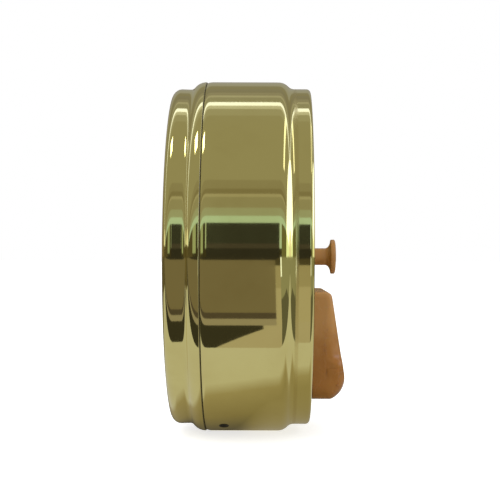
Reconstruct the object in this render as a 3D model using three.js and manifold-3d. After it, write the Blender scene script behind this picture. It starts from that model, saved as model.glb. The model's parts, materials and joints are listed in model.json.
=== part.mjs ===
// Desk clock: a round brass drum case with a battery movement, a setting knob and a battery box at the back.
// Millimetres. The clock's axis runs along Y, the dial faces -Y and +Z is up.
// Places along the axis count from the seam between the bezel and the drum, backwards.
import * as THREE from 'three';
import { mergeVertices } from 'three/addons/utils/BufferGeometryUtils.js';
import Module from 'manifold-3d';

const wasm = await Module();
wasm.setup();

// Fits between pieces
const SEAT_GAP = 0.1;
const RUN_GAP = 0.2;
const LOOSE_GAP = 0.3;
const CUT_OVER = 1;

// Roundness of turned pieces
const RING_SIDES = 40;
const SMALL_SIDES = 20;
const PIN_SIDES = 10;
const SCREW_SIDES = 8;
const ARC_STEPS = 5;
const HOLLOW_STEPS = 3;
const CORNER_STEPS = 4;

// Drum case
const DRUM_RADIUS = 60.5;
const DRUM_WALL = 1.4;
const DRUM_LENGTH = 25;
const SEAM_CHAMFER = 0.3;
const SHOULDER_DEPTH = 5;
const SHOULDER_SHARE = 0.6;
const BACK_STEP = 2.3;
const BACK_RING_LENGTH = 5.4;
const BACK_RING_WALL = 2.55;
const BACK_CORNER = 1.3;

// Bezel, glass and the ring that holds the glass
const BEZEL_SLOPE_DEPTH = 5;
const BEZEL_SLOPE_SHARE = 0.8;
const BEZEL_STEP = 2.5;
const BEZEL_BAND = 3.05;
const BEZEL_CORNER = 3;
const BEZEL_FACE = 2.0;
const BEZEL_COVE_DEPTH = 2.2;
const BEZEL_COVE_WIDTH = 3.6;
const BEZEL_LIP = 0.8;
const BEZEL_WALL = 1.5;
const SPIGOT_LENGTH = 4;
const GLASS_SEAT = 2.5;
const GLASS_THICK = 2;
const RETAINER_WALL = 1.2;
const RETAINER_TAPER = 2.6;

// Dial and its spacer tube
const DIAL_THICK = 0.8;
const SPACER_WALL = 1.3;

// Feet under the drum
const FOOT_RADIUS = 1.65;
const FOOT_PROUD = 0.5;
const FOOT_ANGLE = THREE.MathUtils.degToRad(21);
const FOOT_PLACE = 6.6;

// Back plate, its lugs and screws
const PLATE_RECESS = 1.4;
const PLATE_THICK = 1;
const LUG_THICK = 3.3;
const LUG_WIDTH = 7;
const SCREW_INSET = 4;
const BACK_SCREWS = 4;
const BACK_SCREW_RADIUS = 1.3;
const BACK_SCREW_LENGTH = 4.2;
const BACK_HEAD_RADIUS = 2.8;
const BACK_HEAD_HEIGHT = 1.2;

// Small movement screws
const SMALL_SCREW_RADIUS = 0.9;
const SMALL_SCREW_LENGTH = 4;
const SMALL_HEAD_RADIUS = 1.7;
const SMALL_HEAD_HEIGHT = 0.8;
const SLOT_SHARE = 0.5;
const SLOT_WIDTH = 0.6;

// Centre stack of arbor, pipe, bush, nut and hands
const ARBOR_RADIUS = 1.4;
const PIPE_WALL = 0.8;
const BUSH_WALL = 1.3;
const BUSH_FLANGE_WIDTH = 1.6;
const BUSH_FLANGE_THICK = 1;
const WASHER_WIDTH = 3.4;
const WASHER_THICK = 0.6;
const NUT_ACROSS_FLATS = 13;
const NUT_THICK = 2.4;
const BUSH_PROUD = 0.5;
const HAND_GAP = 0.6;
const HAND_THICK = 0.5;
const HUB_WIDTH = 2;
const HOUR_HAND_LENGTH = 27;
const HOUR_HAND_WIDTH = 5.2;
const MINUTE_HAND_LENGTH = 40;
const MINUTE_HAND_WIDTH = 4.2;
const HAND_NECK_WIDTH = 1.5;
const SPADE_START = 0.55;
const SPADE_WIDEST = 0.68;
const SPADE_END = 0.92;
const CAP_RADIUS = 2.3;
const CAP_HEIGHT = 1.6;
const CAP_SKIRT = 0.4;
const SHOWN_HOUR = 10;
const SHOWN_MINUTE = 10;

// Setting knob
const KNOB_REACH = 9.4;
const KNOB_RADIUS = 5.97;
const KNOB_RIM = 1.5;
const KNOB_DOME = 0.46;
const KNOB_FILLET = 1.85;
const KNOB_NECK_RADIUS = 2.94;

// Movement tray and its cover
const TRAY_TOP = 24;
const TRAY_CORNER = 5;
const TRAY_WALL = 1.6;
const TRAY_FLOOR = 1.6;
const COVER_PLATE = 1.9;
const COVER_BOSS_RADIUS = 1.7;
const COVER_BOSS_SINK = 0.6;
const COVER_SCREW_DROP = 4.5;
const BOX_RIM_CLEARANCE = 1.9;

// Battery box on the cover
const BOX_TOP = 11.9;
const BOX_REACH = 11.15;
const BOX_SLOPE = THREE.MathUtils.degToRad(9.3);
const BOX_TOP_ROUND = 3.2;
const BOX_TOP_CORNER = 2.5;
const BULGE_OVER = 0.5;
const BULGE_STEPS = 6;
const DOOR_STEP = 0.4;
const GRIP_LENGTH = 3.9;
const GRIP_INSET = 2.2;
const GRIP_HEIGHT = 10.7;
const GRIP_THICK = 0.8;
const GRIP_PROUD = 0.4;

// Battery, its contacts and the circuit board
const CELL_RADIUS = 7.1;
const CELL_LENGTH = 49;
const CELL_NUB_RADIUS = 2.7;
const CELL_NUB_LENGTH = 1.2;
const CELL_EDGE = 0.8;
const CELL_ROOM = 0.6;
const CONTACT_THICK = 0.4;
const CONTACT_ROOM = 0.7;
const CONTACT_WIDTH = 6;
const CONTACT_FOOT = 4.5;
const BOARD_SIDE_ROOM = 2.9;
const BOARD_HEIGHT = 9;
const BOARD_THICK = 1.2;
const BOARD_PLACE = 9.8;
const LEDGE_WIDTH = 5;
const CAN_RADIUS = 1.5;
const CAN_LENGTH = 6;
const CHIP_RADIUS = 3;
const CHIP_HEIGHT = 1.4;

// Gear train: leaves and teeth
const MODULE = 0.46;
const MOTION_MODULE = 0.5;
const LEAVES = 6;
const CANNON_LEAVES = 8;
const INTERMEDIATE_TEETH = 30;
const SECONDS_TEETH = 36;
const THIRD_TEETH = 45;
const CENTRE_TEETH = 48;
const MINUTE_TEETH = 24;
const HOUR_TEETH = 24;
const MESH_SLACK = 0.08;
const ADDENDUM = 0.7;
const DEDENDUM = 1.0;
const TIP_HALF = 0.28;
const ROOT_HALF = 0.8;

// Gear train: planes and arbors
const WHEEL_THICK = 1;
const PLANE_STEP = 2;
const PINION_OVER = 0.2;
const TRAIN_ARBOR_RADIUS = 0.7;
const PIVOT_RADIUS = 0.45;
const PIVOT_LENGTH = 0.9;
const THIRD_BEARING = THREE.MathUtils.degToRad(15);
const SECONDS_BEARING = THREE.MathUtils.degToRad(-75);
const INTERMEDIATE_BEARING = THREE.MathUtils.degToRad(200);
const ROTOR_BEARING = THREE.MathUtils.degToRad(230);
const MINUTE_BEARING = THREE.MathUtils.degToRad(90);
const SPRING_RADIUS = 4;
const SPRING_THICK = 0.5;

// Bridge over the train
const BRIDGE_THICK = 1;
const BRIDGE_MARGIN = 3;
const POST_RADIUS = 2.1;
const POST_CLEARANCE = 0.8;
const TOP_POST_BEARING = THREE.MathUtils.degToRad(60);
const LEFT_POST_BEARING = THREE.MathUtils.degToRad(225);
const LOW_POST_BEARING = THREE.MathUtils.degToRad(-62);

// Motor
const MAGNET_RADIUS = 3;
const MAGNET_LENGTH = 3.2;
const AIR_GAP = 0.6;
const STATOR_THICK = 1;
const STATOR_RIM = 2;
const STATOR_HALF_WIDTH = 13;
const STATOR_ARM_WIDTH = 4.4;
const CORE_THICK = 1.4;
const CORE_HEIGHT = 3;
const CORE_CORNER = 0.5;
const COIL_RADIUS = 4.2;
const COIL_BORE = 2.2;
const COIL_FLANGE = 1;

// Joining and cutting of closed meshes
function solidOf(geometry) {
  const plain = geometry.clone();
  plain.deleteAttribute('normal');
  plain.deleteAttribute('uv');
  const merged = mergeVertices(plain, 1e-4);
  const corners = merged.index.array;
  const kept = [];
  for (let i = 0; i < corners.length; i += 3) {
    const [a, b, c] = [corners[i], corners[i + 1], corners[i + 2]];
    if (a !== b && b !== c && c !== a) kept.push(a, b, c);
  }
  const vertProperties = new Float32Array(merged.attributes.position.array);
  return new wasm.Manifold(new wasm.Mesh({ numProp: 3, vertProperties, triVerts: new Uint32Array(kept) }));
}

function geometryOf(solid) {
  const mesh = solid.getMesh();
  const geometry = new THREE.BufferGeometry();
  geometry.setAttribute('position', new THREE.BufferAttribute(mesh.vertProperties, 3));
  geometry.setIndex(new THREE.BufferAttribute(mesh.triVerts, 1));
  geometry.computeVertexNormals();
  return geometry;
}

function joined(...geometries) {
  return geometryOf(geometries.map(solidOf).reduce((whole, next) => whole.add(next)));
}

function cut(body, ...tools) {
  return geometryOf(tools.map(solidOf).reduce((whole, next) => whole.subtract(next), solidOf(body)));
}

function common(first, second) {
  return geometryOf(solidOf(first).intersect(solidOf(second)));
}

// Points along an ellipse's arc, between two angles in degrees
function arc(middleX, middleY, halfX, halfY, from, to, steps = ARC_STEPS) {
  const points = [];
  for (let i = 0; i <= steps; i += 1) {
    const angle = THREE.MathUtils.degToRad(from + (to - from) * i / steps);
    points.push([middleX + halfX * Math.cos(angle), middleY + halfY * Math.sin(angle)]);
  }
  return points;
}

// Points along a double curve, level at both ends: an arc over a share of the way, then a hollow
function ogee(start, startRadius, end, endRadius, share) {
  const bend = 2 * Math.atan((startRadius - endRadius) / Math.abs(end - start));
  const along = (end - start) / Math.sin(bend);
  const drop = (startRadius - endRadius) / (1 - Math.cos(bend));
  const points = [];
  for (let i = 0; i <= ARC_STEPS; i += 1) {
    const angle = bend * i / ARC_STEPS;
    points.push([
      start + share * along * Math.sin(angle), startRadius - share * drop * (1 - Math.cos(angle))]);
  }
  for (let i = HOLLOW_STEPS - 1; i >= 0; i -= 1) {
    const angle = bend * i / HOLLOW_STEPS;
    points.push([
      end - (1 - share) * along * Math.sin(angle), endRadius + (1 - share) * drop * (1 - Math.cos(angle))]);
  }
  return points;
}

// Corners of a regular figure around a place, with a flat side downwards
function circle(x, z, radius, sides) {
  const half = 180 / sides;
  return arc(x, z, radius, radius, half - 90, 270 - half, sides - 1);
}

// A piece turned about the Y axis from [axial, radius] points, with a flat side downwards
function turned(outline, sides = RING_SIDES) {
  const points = outline.map(([axial, radius]) => new THREE.Vector2(radius, axial));
  const onAxis = outline[0][1] === 0;
  if (THREE.ShapeUtils.area(points) < 0) points.reverse();
  if (!onAxis) points.push(points[0].clone());
  return new THREE.LatheGeometry(points, sides, Math.PI / sides);
}

// A plain disc or rod about the Y axis
function rod(radius, front, back, sides = PIN_SIDES) {
  return turned([[front, 0], [front, radius], [back, radius], [back, 0]], sides);
}

// A tube about the Y axis
function tube(bore, radius, front, back, sides = SMALL_SIDES) {
  return turned([[front, bore], [front, radius], [back, radius], [back, bore]], sides);
}

// A flat shape drawn in X and Z, made solid along Y
function plate(shape, front, thickness) {
  const geometry = new THREE.ExtrudeGeometry(shape, { depth: thickness, bevelEnabled: false });
  geometry.rotateX(Math.PI / 2);
  geometry.translate(0, front + thickness, 0);
  return geometry;
}

// A profile drawn in Y and Z, made solid along X on both sides of the middle
function prismAcross(shape, halfWidth) {
  const geometry = new THREE.ExtrudeGeometry(shape, { depth: 2 * halfWidth, bevelEnabled: false });
  geometry.translate(0, 0, -halfWidth);
  const turn = new THREE.Matrix4().makeBasis(
    new THREE.Vector3(0, 1, 0), new THREE.Vector3(0, 0, 1), new THREE.Vector3(1, 0, 0));
  geometry.applyMatrix4(turn);
  return geometry;
}

// A profile drawn in X and Y, made solid along Z around a height
function prismUp(shape, middle, height) {
  const geometry = new THREE.ExtrudeGeometry(shape, { depth: height, bevelEnabled: false });
  geometry.translate(0, 0, middle - height / 2);
  return geometry;
}

function block(lowX, highX, lowY, highY, lowZ, highZ) {
  const geometry = new THREE.BoxGeometry(highX - lowX, highY - lowY, highZ - lowZ);
  geometry.translate((lowX + highX) / 2, (lowY + highY) / 2, (lowZ + highZ) / 2);
  return geometry;
}

function moved(geometry, x, y, z) {
  geometry.translate(x, y, z);
  return geometry;
}

function polygon(points) {
  return new THREE.Shape(points.map(([x, y]) => new THREE.Vector2(x, y)));
}

function roundedRectangle(left, right, bottom, top, corner, topCorner = corner) {
  return polygon([
    ...arc(right - corner, bottom + corner, corner, corner, -90, 0, CORNER_STEPS),
    ...arc(right - topCorner, top - topCorner, topCorner, topCorner, 0, 90, CORNER_STEPS),
    ...arc(left + topCorner, top - topCorner, topCorner, topCorner, 90, 180, CORNER_STEPS),
    ...arc(left + corner, bottom + corner, corner, corner, 180, 270, CORNER_STEPS),
  ]);
}

function drill(shape, x, z, radius, sides = PIN_SIDES) {
  shape.holes.push(new THREE.Path(polygon(circle(x, z, radius, sides)).getPoints().reverse()));
  return shape;
}

// Materials
function finish(color, roughness, metalness) {
  return new THREE.MeshStandardMaterial({ color, roughness, metalness });
}
const POLISHED_BRASS = finish(0xb5a55c, 0.15, 1);
const PLAIN_BRASS = finish(0xa8954f, 0.35, 1);
const STEEL = finish(0x9a9a98, 0.35, 1);
const TAN_PLASTIC = finish(0x93683a, 0.4, 0);
const WHITE_PLASTIC = finish(0xe4e0d4, 0.5, 0);
const DARK_PLASTIC = finish(0x1c1b1a, 0.45, 0);
const RUBBER = finish(0x191715, 0.8, 0);
const GLASS = finish(0xdfe8e6, 0.03, 0);
const IVORY = finish(0xefe6cf, 0.6, 0);
const BOARD_GREEN = finish(0x2e5a35, 0.5, 0);
const COPPER = finish(0x9a4f25, 0.35, 1);
const CELL_WRAP = finish(0x3c4a58, 0.35, 0.3);

const clock = new THREE.Group();

function add(name, geometry, material, x = 0, y = 0, z = 0) {
  const mesh = new THREE.Mesh(geometry, material);
  mesh.name = name;
  mesh.position.set(x, y, z);
  clock.add(mesh);
  return mesh;
}

// Drum case
const drumInner = DRUM_RADIUS - DRUM_WALL;
const ringRadius = DRUM_RADIUS - BACK_STEP;
const ringInner = ringRadius - BACK_RING_WALL;
const shoulderEnd = DRUM_LENGTH + SHOULDER_DEPTH;
const backEdge = shoulderEnd + BACK_RING_LENGTH;
const plateBack = backEdge - PLATE_RECESS;
const plateFront = plateBack - PLATE_THICK;
const lugBack = plateFront - SEAT_GAP;
const screwCircle = ringInner - SCREW_INSET;
const screwBearings = Array.from({ length: BACK_SCREWS }, (_, i) => (i + 0.5) * Math.PI * 2 / BACK_SCREWS);
const flatRadius = DRUM_RADIUS * Math.cos(Math.PI / RING_SIDES);

function onCircle(radius, bearing) {
  return [radius * Math.cos(bearing), radius * Math.sin(bearing)];
}

function footHole(side) {
  const hole = rod(FOOT_RADIUS + RUN_GAP, drumInner - DRUM_WALL, DRUM_RADIUS + DRUM_WALL);
  hole.rotateX(-Math.PI / 2);
  hole.rotateY(side * FOOT_ANGLE);
  return moved(hole, 0, FOOT_PLACE, 0);
}

function caseDrum() {
  const shell = turned([
    [0, drumInner],
    [0, DRUM_RADIUS - SEAM_CHAMFER],
    [SEAM_CHAMFER, DRUM_RADIUS],
    ...ogee(DRUM_LENGTH, DRUM_RADIUS, shoulderEnd, ringRadius, SHOULDER_SHARE),
    ...arc(backEdge - BACK_CORNER, ringRadius - BACK_CORNER, BACK_CORNER, BACK_CORNER, 90, 0, 2),
    [backEdge, ringInner],
    [shoulderEnd - DRUM_WALL, ringInner],
    [DRUM_LENGTH, drumInner],
  ]);
  const lugs = screwBearings.map((bearing) => {
    const lugInner = screwCircle - LUG_WIDTH / 2;
    const lugOuter = ringInner + BACK_RING_WALL / 2;
    const lug = block(lugInner, lugOuter, lugBack - LUG_THICK, lugBack, -LUG_WIDTH / 2, LUG_WIDTH / 2);
    lug.rotateY(-bearing);
    return lug;
  });
  const holes = screwBearings.map((bearing) => {
    const [x, z] = onCircle(screwCircle, bearing);
    return moved(rod(BACK_SCREW_RADIUS + RUN_GAP, lugBack - 2 * LUG_THICK, lugBack + LUG_THICK), x, 0, z);
  });
  return cut(joined(shell, ...lugs), ...holes, footHole(-1), footHole(1));
}
add('case_drum', caseDrum(), POLISHED_BRASS);

// Rubber feet, plugged into the drum's wall
function foot() {
  const outline = [
    [drumInner + SEAT_GAP, 0],
    [drumInner + SEAT_GAP, FOOT_RADIUS],
    ...arc(DRUM_RADIUS, 0, FOOT_PROUD, FOOT_RADIUS, 90, 0, 4),
  ];
  outline[outline.length - 1][1] = 0;
  const geometry = turned(outline, PIN_SIDES);
  geometry.rotateX(-Math.PI / 2);
  return geometry;
}
add('foot_left', foot(), RUBBER, 0, FOOT_PLACE, 0).rotation.y = FOOT_ANGLE;
add('foot_right', foot(), RUBBER, 0, FOOT_PLACE, 0).rotation.y = -FOOT_ANGLE;

// Bezel ring
const bandRadius = DRUM_RADIUS - BEZEL_STEP;
const bezelBack = -SEAT_GAP;
const bezelEdge = bezelBack - SEAM_CHAMFER;
const slopeEnd = bezelEdge - BEZEL_SLOPE_DEPTH;
const cornerStart = slopeEnd - BEZEL_BAND;
const bezelFront = cornerStart - BEZEL_CORNER;
const faceOuter = bandRadius - BEZEL_CORNER;
const faceInner = faceOuter - BEZEL_FACE;
const lipRadius = faceInner - BEZEL_COVE_WIDTH;
const coveEnd = bezelFront + BEZEL_COVE_DEPTH;
const glassSeat = coveEnd + BEZEL_LIP;
const glassFront = glassSeat + SEAT_GAP;
const glassBack = glassFront + GLASS_THICK;
const pocketRadius = lipRadius + GLASS_SEAT;
const bezelInner = bandRadius - BEZEL_WALL;
const spigotOuter = drumInner - RUN_GAP;

function bezelRing() {
  return turned([
    [bezelBack, spigotOuter],
    [bezelBack, DRUM_RADIUS - SEAM_CHAMFER],
    ...ogee(bezelEdge, DRUM_RADIUS, slopeEnd, bandRadius, BEZEL_SLOPE_SHARE),
    ...arc(cornerStart, faceOuter, BEZEL_CORNER, BEZEL_CORNER, 90, 180, 4),
    ...arc(bezelFront, lipRadius, BEZEL_COVE_DEPTH, BEZEL_COVE_WIDTH, 90, 0, 3),
    [glassSeat, lipRadius],
    [glassSeat, pocketRadius],
    [glassBack, pocketRadius],
    [glassBack, bezelInner],
    [SPIGOT_LENGTH, bezelInner],
    [SPIGOT_LENGTH, spigotOuter],
  ]);
}
add('bezel_ring', bezelRing(), POLISHED_BRASS);
add('crystal_glass', rod(pocketRadius - RUN_GAP, glassFront, glassBack, RING_SIDES), GLASS);

// Sloping ring between the glass and the dial
function retainingRing() {
  const front = glassBack + SEAT_GAP;
  const outer = bezelInner - RUN_GAP;
  const slopeBack = lipRadius - RETAINER_TAPER;
  return turned([
    [front, lipRadius],
    [front, outer],
    [front + RETAINER_WALL, outer],
    [front + RETAINER_WALL, lipRadius + RETAINER_WALL],
    [SPIGOT_LENGTH, slopeBack + RETAINER_WALL],
    [SPIGOT_LENGTH, slopeBack],
  ]);
}
add('glass_retaining_ring', retainingRing(), PLAIN_BRASS);

// Dial and the tube that presses it against the bezel
const dialFront = SPIGOT_LENGTH + SEAT_GAP;
const dialBack = dialFront + DIAL_THICK;
const pipeBore = ARBOR_RADIUS + RUN_GAP;
const pipeOuter = pipeBore + PIPE_WALL;
const bushBore = pipeOuter + RUN_GAP;
const bushOuter = bushBore + BUSH_WALL;
const bushHole = bushOuter + RUN_GAP;
add('dial', tube(bushHole, spigotOuter, dialFront, dialBack, RING_SIDES), IVORY);
const spacerFront = dialBack + SEAT_GAP;
const spacerBack = DRUM_LENGTH - SEAT_GAP;
const spacerBore = spigotOuter - SPACER_WALL;
add('dial_spacer', tube(spacerBore, spigotOuter, spacerFront, spacerBack, RING_SIDES), STEEL);

// Axial places of the centre stack
const trayFront = dialBack + SEAT_GAP;
const trayFloor = trayFront + TRAY_FLOOR;
const flangeFront = trayFloor + SEAT_GAP;
const flangeBack = flangeFront + BUSH_FLANGE_THICK;
const washerFront = dialFront - SEAT_GAP - WASHER_THICK;
const nutFront = washerFront - SEAT_GAP - NUT_THICK;
const bushFront = nutFront - BUSH_PROUD;
const hourHandBack = bushFront - HAND_GAP;
const hourHandFront = hourHandBack - HAND_THICK;
const pipeFront = hourHandFront - SEAT_GAP;
const minuteHandBack = pipeFront - HAND_GAP;
const minuteHandFront = minuteHandBack - HAND_THICK;
const arborFront = minuteHandFront - SEAT_GAP;

function centreBush() {
  const flangeRadius = bushOuter + BUSH_FLANGE_WIDTH;
  return turned([
    [bushFront, bushBore],
    [bushFront, bushOuter],
    [flangeFront, bushOuter],
    [flangeFront, flangeRadius],
    [flangeBack, flangeRadius],
    [flangeBack, bushBore],
  ], SMALL_SIDES);
}
add('centre_bush', centreBush(), PLAIN_BRASS);
const washerRadius = bushOuter + WASHER_WIDTH;
add('dial_washer', tube(bushHole, washerRadius, washerFront, washerFront + WASHER_THICK), STEEL);

function centreNut() {
  const corner = NUT_ACROSS_FLATS / 2 / Math.cos(Math.PI / 6);
  const corners = [];
  for (let i = 0; i < 6; i += 1) corners.push(onCircle(corner, i * Math.PI / 3));
  return plate(drill(polygon(corners), 0, 0, bushHole, SMALL_SIDES), nutFront, NUT_THICK);
}
add('centre_nut', centreNut(), PLAIN_BRASS);

// Hands, drawn pointing to twelve and turned to the time shown
function hand(length, width, bore, front) {
  const hub = bore + HUB_WIDTH;
  const neck = HAND_NECK_WIDTH / 2;
  const opening = THREE.MathUtils.radToDeg(Math.acos(neck / hub));
  const shape = polygon([
    ...arc(0, 0, hub, hub, 180 - opening, 360 + opening, SMALL_SIDES),
    [neck, length * SPADE_START],
    [width / 2, length * SPADE_WIDEST],
    [neck / 2, length * SPADE_END],
    [0, length],
    [-neck / 2, length * SPADE_END],
    [-width / 2, length * SPADE_WIDEST],
    [-neck, length * SPADE_START],
  ]);
  return plate(drill(shape, 0, 0, bore, SMALL_SIDES), front, HAND_THICK);
}
const minuteTurn = SHOWN_MINUTE / 60 * Math.PI * 2;
const hourTurn = (SHOWN_HOUR + SHOWN_MINUTE / 60) / 12 * Math.PI * 2;
const hourHand = hand(HOUR_HAND_LENGTH, HOUR_HAND_WIDTH, pipeOuter + SEAT_GAP, hourHandFront);
const minuteHand = hand(MINUTE_HAND_LENGTH, MINUTE_HAND_WIDTH, ARBOR_RADIUS + SEAT_GAP, minuteHandFront);
add('hour_hand', hourHand, DARK_PLASTIC).rotation.y = hourTurn;
add('minute_hand', minuteHand, DARK_PLASTIC).rotation.y = minuteTurn;

function handCap() {
  const back = arborFront - SEAT_GAP;
  const skirt = back - CAP_SKIRT;
  const outline = [[back, 0], [back, CAP_RADIUS], ...arc(skirt, 0, CAP_HEIGHT, CAP_RADIUS, 90, 180, 4)];
  outline[outline.length - 1][1] = 0;
  return turned(outline, SMALL_SIDES);
}
add('hand_cap', handCap(), PLAIN_BRASS);

// Gears
function gearShape(teeth, module, phase) {
  const pitch = module * teeth / 2;
  const tip = pitch + ADDENDUM * module;
  const root = pitch - DEDENDUM * module;
  const tipTurn = TIP_HALF * module / tip;
  const rootTurn = ROOT_HALF * module / root;
  const points = [];
  for (let i = 0; i < teeth; i += 1) {
    const middle = phase + i * Math.PI * 2 / teeth;
    points.push(onCircle(root, middle - rootTurn), onCircle(tip, middle - tipTurn));
    points.push(onCircle(tip, middle + tipTurn), onCircle(root, middle + rootTurn));
  }
  return polygon(points);
}

// Turn of a wheel whose gap takes the tooth of a driver that stands at phase zero
function meshPhase(driverTeeth, wheelTeeth, bearing) {
  const step = Math.PI * 2 / driverTeeth;
  const offset = -bearing - Math.round(-bearing / step) * step;
  return bearing + Math.PI - offset * driverTeeth / wheelTeeth + Math.PI / wheelTeeth;
}

function centreDistance(teeth, leaves, module) {
  return module * (teeth + leaves) / 2 + MESH_SLACK;
}

function tipRadius(teeth, module) {
  return module * teeth / 2 + ADDENDUM * module;
}

function away([x, z], distance, bearing) {
  return [x + distance * Math.cos(bearing), z + distance * Math.sin(bearing)];
}

// Places of the arbors
const centrePlace = [0, 0];
const thirdPlace = away(centrePlace, centreDistance(CENTRE_TEETH, LEAVES, MODULE), THIRD_BEARING);
const secondsPlace = away(thirdPlace, centreDistance(THIRD_TEETH, LEAVES, MODULE), SECONDS_BEARING);
const intermediatePlace = away(
  secondsPlace, centreDistance(SECONDS_TEETH, LEAVES, MODULE), INTERMEDIATE_BEARING);
const rotorPlace = away(
  intermediatePlace, centreDistance(INTERMEDIATE_TEETH, LEAVES, MODULE), ROTOR_BEARING);
const motionDistance = centreDistance(MINUTE_TEETH, CANNON_LEAVES, MOTION_MODULE);
const minutePlace = away(centrePlace, motionDistance, MINUTE_BEARING);
const hourModule = 2 * (motionDistance - MESH_SLACK) / (HOUR_TEETH + LEAVES);

// Bridge posts stand clear of the wheels
const postReach = POST_RADIUS + POST_CLEARANCE;
const bridgePosts = [
  away(thirdPlace, tipRadius(THIRD_TEETH, MODULE) + postReach, TOP_POST_BEARING),
  away(centrePlace, tipRadius(CENTRE_TEETH, MODULE) + postReach, LEFT_POST_BEARING),
  away(secondsPlace, tipRadius(SECONDS_TEETH, MODULE) + postReach, LOW_POST_BEARING),
];
const pivotPlaces = [thirdPlace, secondsPlace, intermediatePlace, rotorPlace];
const bridgeHeld = [...bridgePosts, ...pivotPlaces];
const bridgeLeft = Math.min(...bridgeHeld.map(([x]) => x)) - BRIDGE_MARGIN;
const bridgeRight = Math.max(...bridgeHeld.map(([x]) => x)) + BRIDGE_MARGIN;

// Planes of the wheels, from the dial backwards
const hourPlane = flangeBack + LOOSE_GAP;
const cannonFront = hourPlane + WHEEL_THICK + HAND_GAP;
const minutePlane = cannonFront + PINION_OVER;
const cannonBack = minutePlane + WHEEL_THICK + PINION_OVER;
const centrePlane = cannonBack + LOOSE_GAP;
const thirdPlane = centrePlane + PLANE_STEP;
const secondsPlane = thirdPlane + PLANE_STEP;
const intermediatePlane = secondsPlane + PLANE_STEP;
const bridgeFront = intermediatePlane + WHEEL_THICK + 2 * PINION_OVER + RUN_GAP;
const bridgeBack = bridgeFront + BRIDGE_THICK;
const trayBack = bridgeBack + SEAT_GAP + SMALL_HEAD_HEIGHT + LOOSE_GAP;
const coverFront = trayBack + SEAT_GAP;
const coverBack = coverFront + COVER_PLATE;

// A pinion reaches a little past the wheel that it drives
function pinion(teeth, module, plane, phase = 0) {
  return plate(gearShape(teeth, module, phase), plane - PINION_OVER, WHEEL_THICK + 2 * PINION_OVER);
}

function trainArbor() {
  const front = trayFloor + RUN_GAP;
  const back = bridgeFront - RUN_GAP;
  return turned([
    [front - PIVOT_LENGTH, 0],
    [front - PIVOT_LENGTH, PIVOT_RADIUS],
    [front, PIVOT_RADIUS],
    [front, TRAIN_ARBOR_RADIUS],
    [back, TRAIN_ARBOR_RADIUS],
    [back, PIVOT_RADIUS],
    [back + PIVOT_LENGTH, PIVOT_RADIUS],
    [back + PIVOT_LENGTH, 0],
  ], PIN_SIDES);
}

// A wheel, its pinion and its arbor in one piece
function trainWheel(teeth, wheelPlane, phase, pinionPlane) {
  const wheel = plate(gearShape(teeth, MODULE, phase), wheelPlane, WHEEL_THICK);
  return joined(wheel, pinion(LEAVES, MODULE, pinionPlane), trainArbor());
}
const thirdPhase = meshPhase(LEAVES, THIRD_TEETH, SECONDS_BEARING + Math.PI);
const secondsPhase = meshPhase(LEAVES, SECONDS_TEETH, INTERMEDIATE_BEARING + Math.PI);
const intermediatePhase = meshPhase(LEAVES, INTERMEDIATE_TEETH, ROTOR_BEARING + Math.PI);
const centrePhase = meshPhase(LEAVES, CENTRE_TEETH, THIRD_BEARING + Math.PI);
const minutePhase = meshPhase(CANNON_LEAVES, MINUTE_TEETH, MINUTE_BEARING);
const hourPhase = meshPhase(LEAVES, HOUR_TEETH, MINUTE_BEARING + Math.PI);

function addWheel(name, geometry, material, [x, z]) {
  return add(name, geometry, material, x, 0, z);
}
addWheel('third_wheel', trainWheel(THIRD_TEETH, thirdPlane, thirdPhase, centrePlane),
  WHITE_PLASTIC, thirdPlace);
addWheel('seconds_wheel', trainWheel(SECONDS_TEETH, secondsPlane, secondsPhase, thirdPlane),
  WHITE_PLASTIC, secondsPlace);
addWheel('intermediate_wheel',
  trainWheel(INTERMEDIATE_TEETH, intermediatePlane, intermediatePhase, secondsPlane),
  WHITE_PLASTIC, intermediatePlace);

// Rotor: a magnet and a pinion on one arbor
const statorFront = hourPlane + WHEEL_THICK;
const statorBack = statorFront + STATOR_THICK;
const magnetFront = (statorFront + statorBack - MAGNET_LENGTH) / 2;
const rotorPinion = pinion(LEAVES, MODULE, intermediatePlane);
const magnet = rod(MAGNET_RADIUS, magnetFront, magnetFront + MAGNET_LENGTH, SMALL_SIDES);
addWheel('rotor', joined(rotorPinion, trainArbor(), magnet), DARK_PLASTIC, rotorPlace);

// Centre wheel, slipping on the arbor under its friction spring
function centreWheel() {
  const shape = drill(gearShape(CENTRE_TEETH, MODULE, centrePhase), 0, 0, pipeBore, SMALL_SIDES);
  return plate(shape, centrePlane, WHEEL_THICK);
}
add('centre_wheel', centreWheel(), PLAIN_BRASS);
const springFront = centrePlane + WHEEL_THICK + SEAT_GAP;
const springBore = ARBOR_RADIUS + SEAT_GAP;
add('friction_spring', tube(springBore, SPRING_RADIUS, springFront, springFront + SPRING_THICK), STEEL);

// Motion work behind the dial
function minuteWheel() {
  const wheel = plate(gearShape(MINUTE_TEETH, MOTION_MODULE, minutePhase), minutePlane, WHEEL_THICK);
  const leaves = plate(gearShape(LEAVES, hourModule, 0), hourPlane - PINION_OVER,
    minutePlane - hourPlane + 2 * PINION_OVER);
  const bore = rod(TRAIN_ARBOR_RADIUS + RUN_GAP, trayFloor, cannonBack + WHEEL_THICK);
  return cut(joined(wheel, leaves), bore);
}
addWheel('minute_wheel', minuteWheel(), WHITE_PLASTIC, minutePlace);

function hourWheel() {
  const middle = (pipeBore + pipeOuter) / 2;
  const shape = drill(gearShape(HOUR_TEETH, hourModule, hourPhase), 0, 0, middle, SMALL_SIDES);
  const wheel = plate(shape, hourPlane, WHEEL_THICK);
  return joined(wheel, tube(pipeBore, pipeOuter, pipeFront, hourPlane + WHEEL_THICK));
}
add('hour_wheel', hourWheel(), WHITE_PLASTIC);

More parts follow.
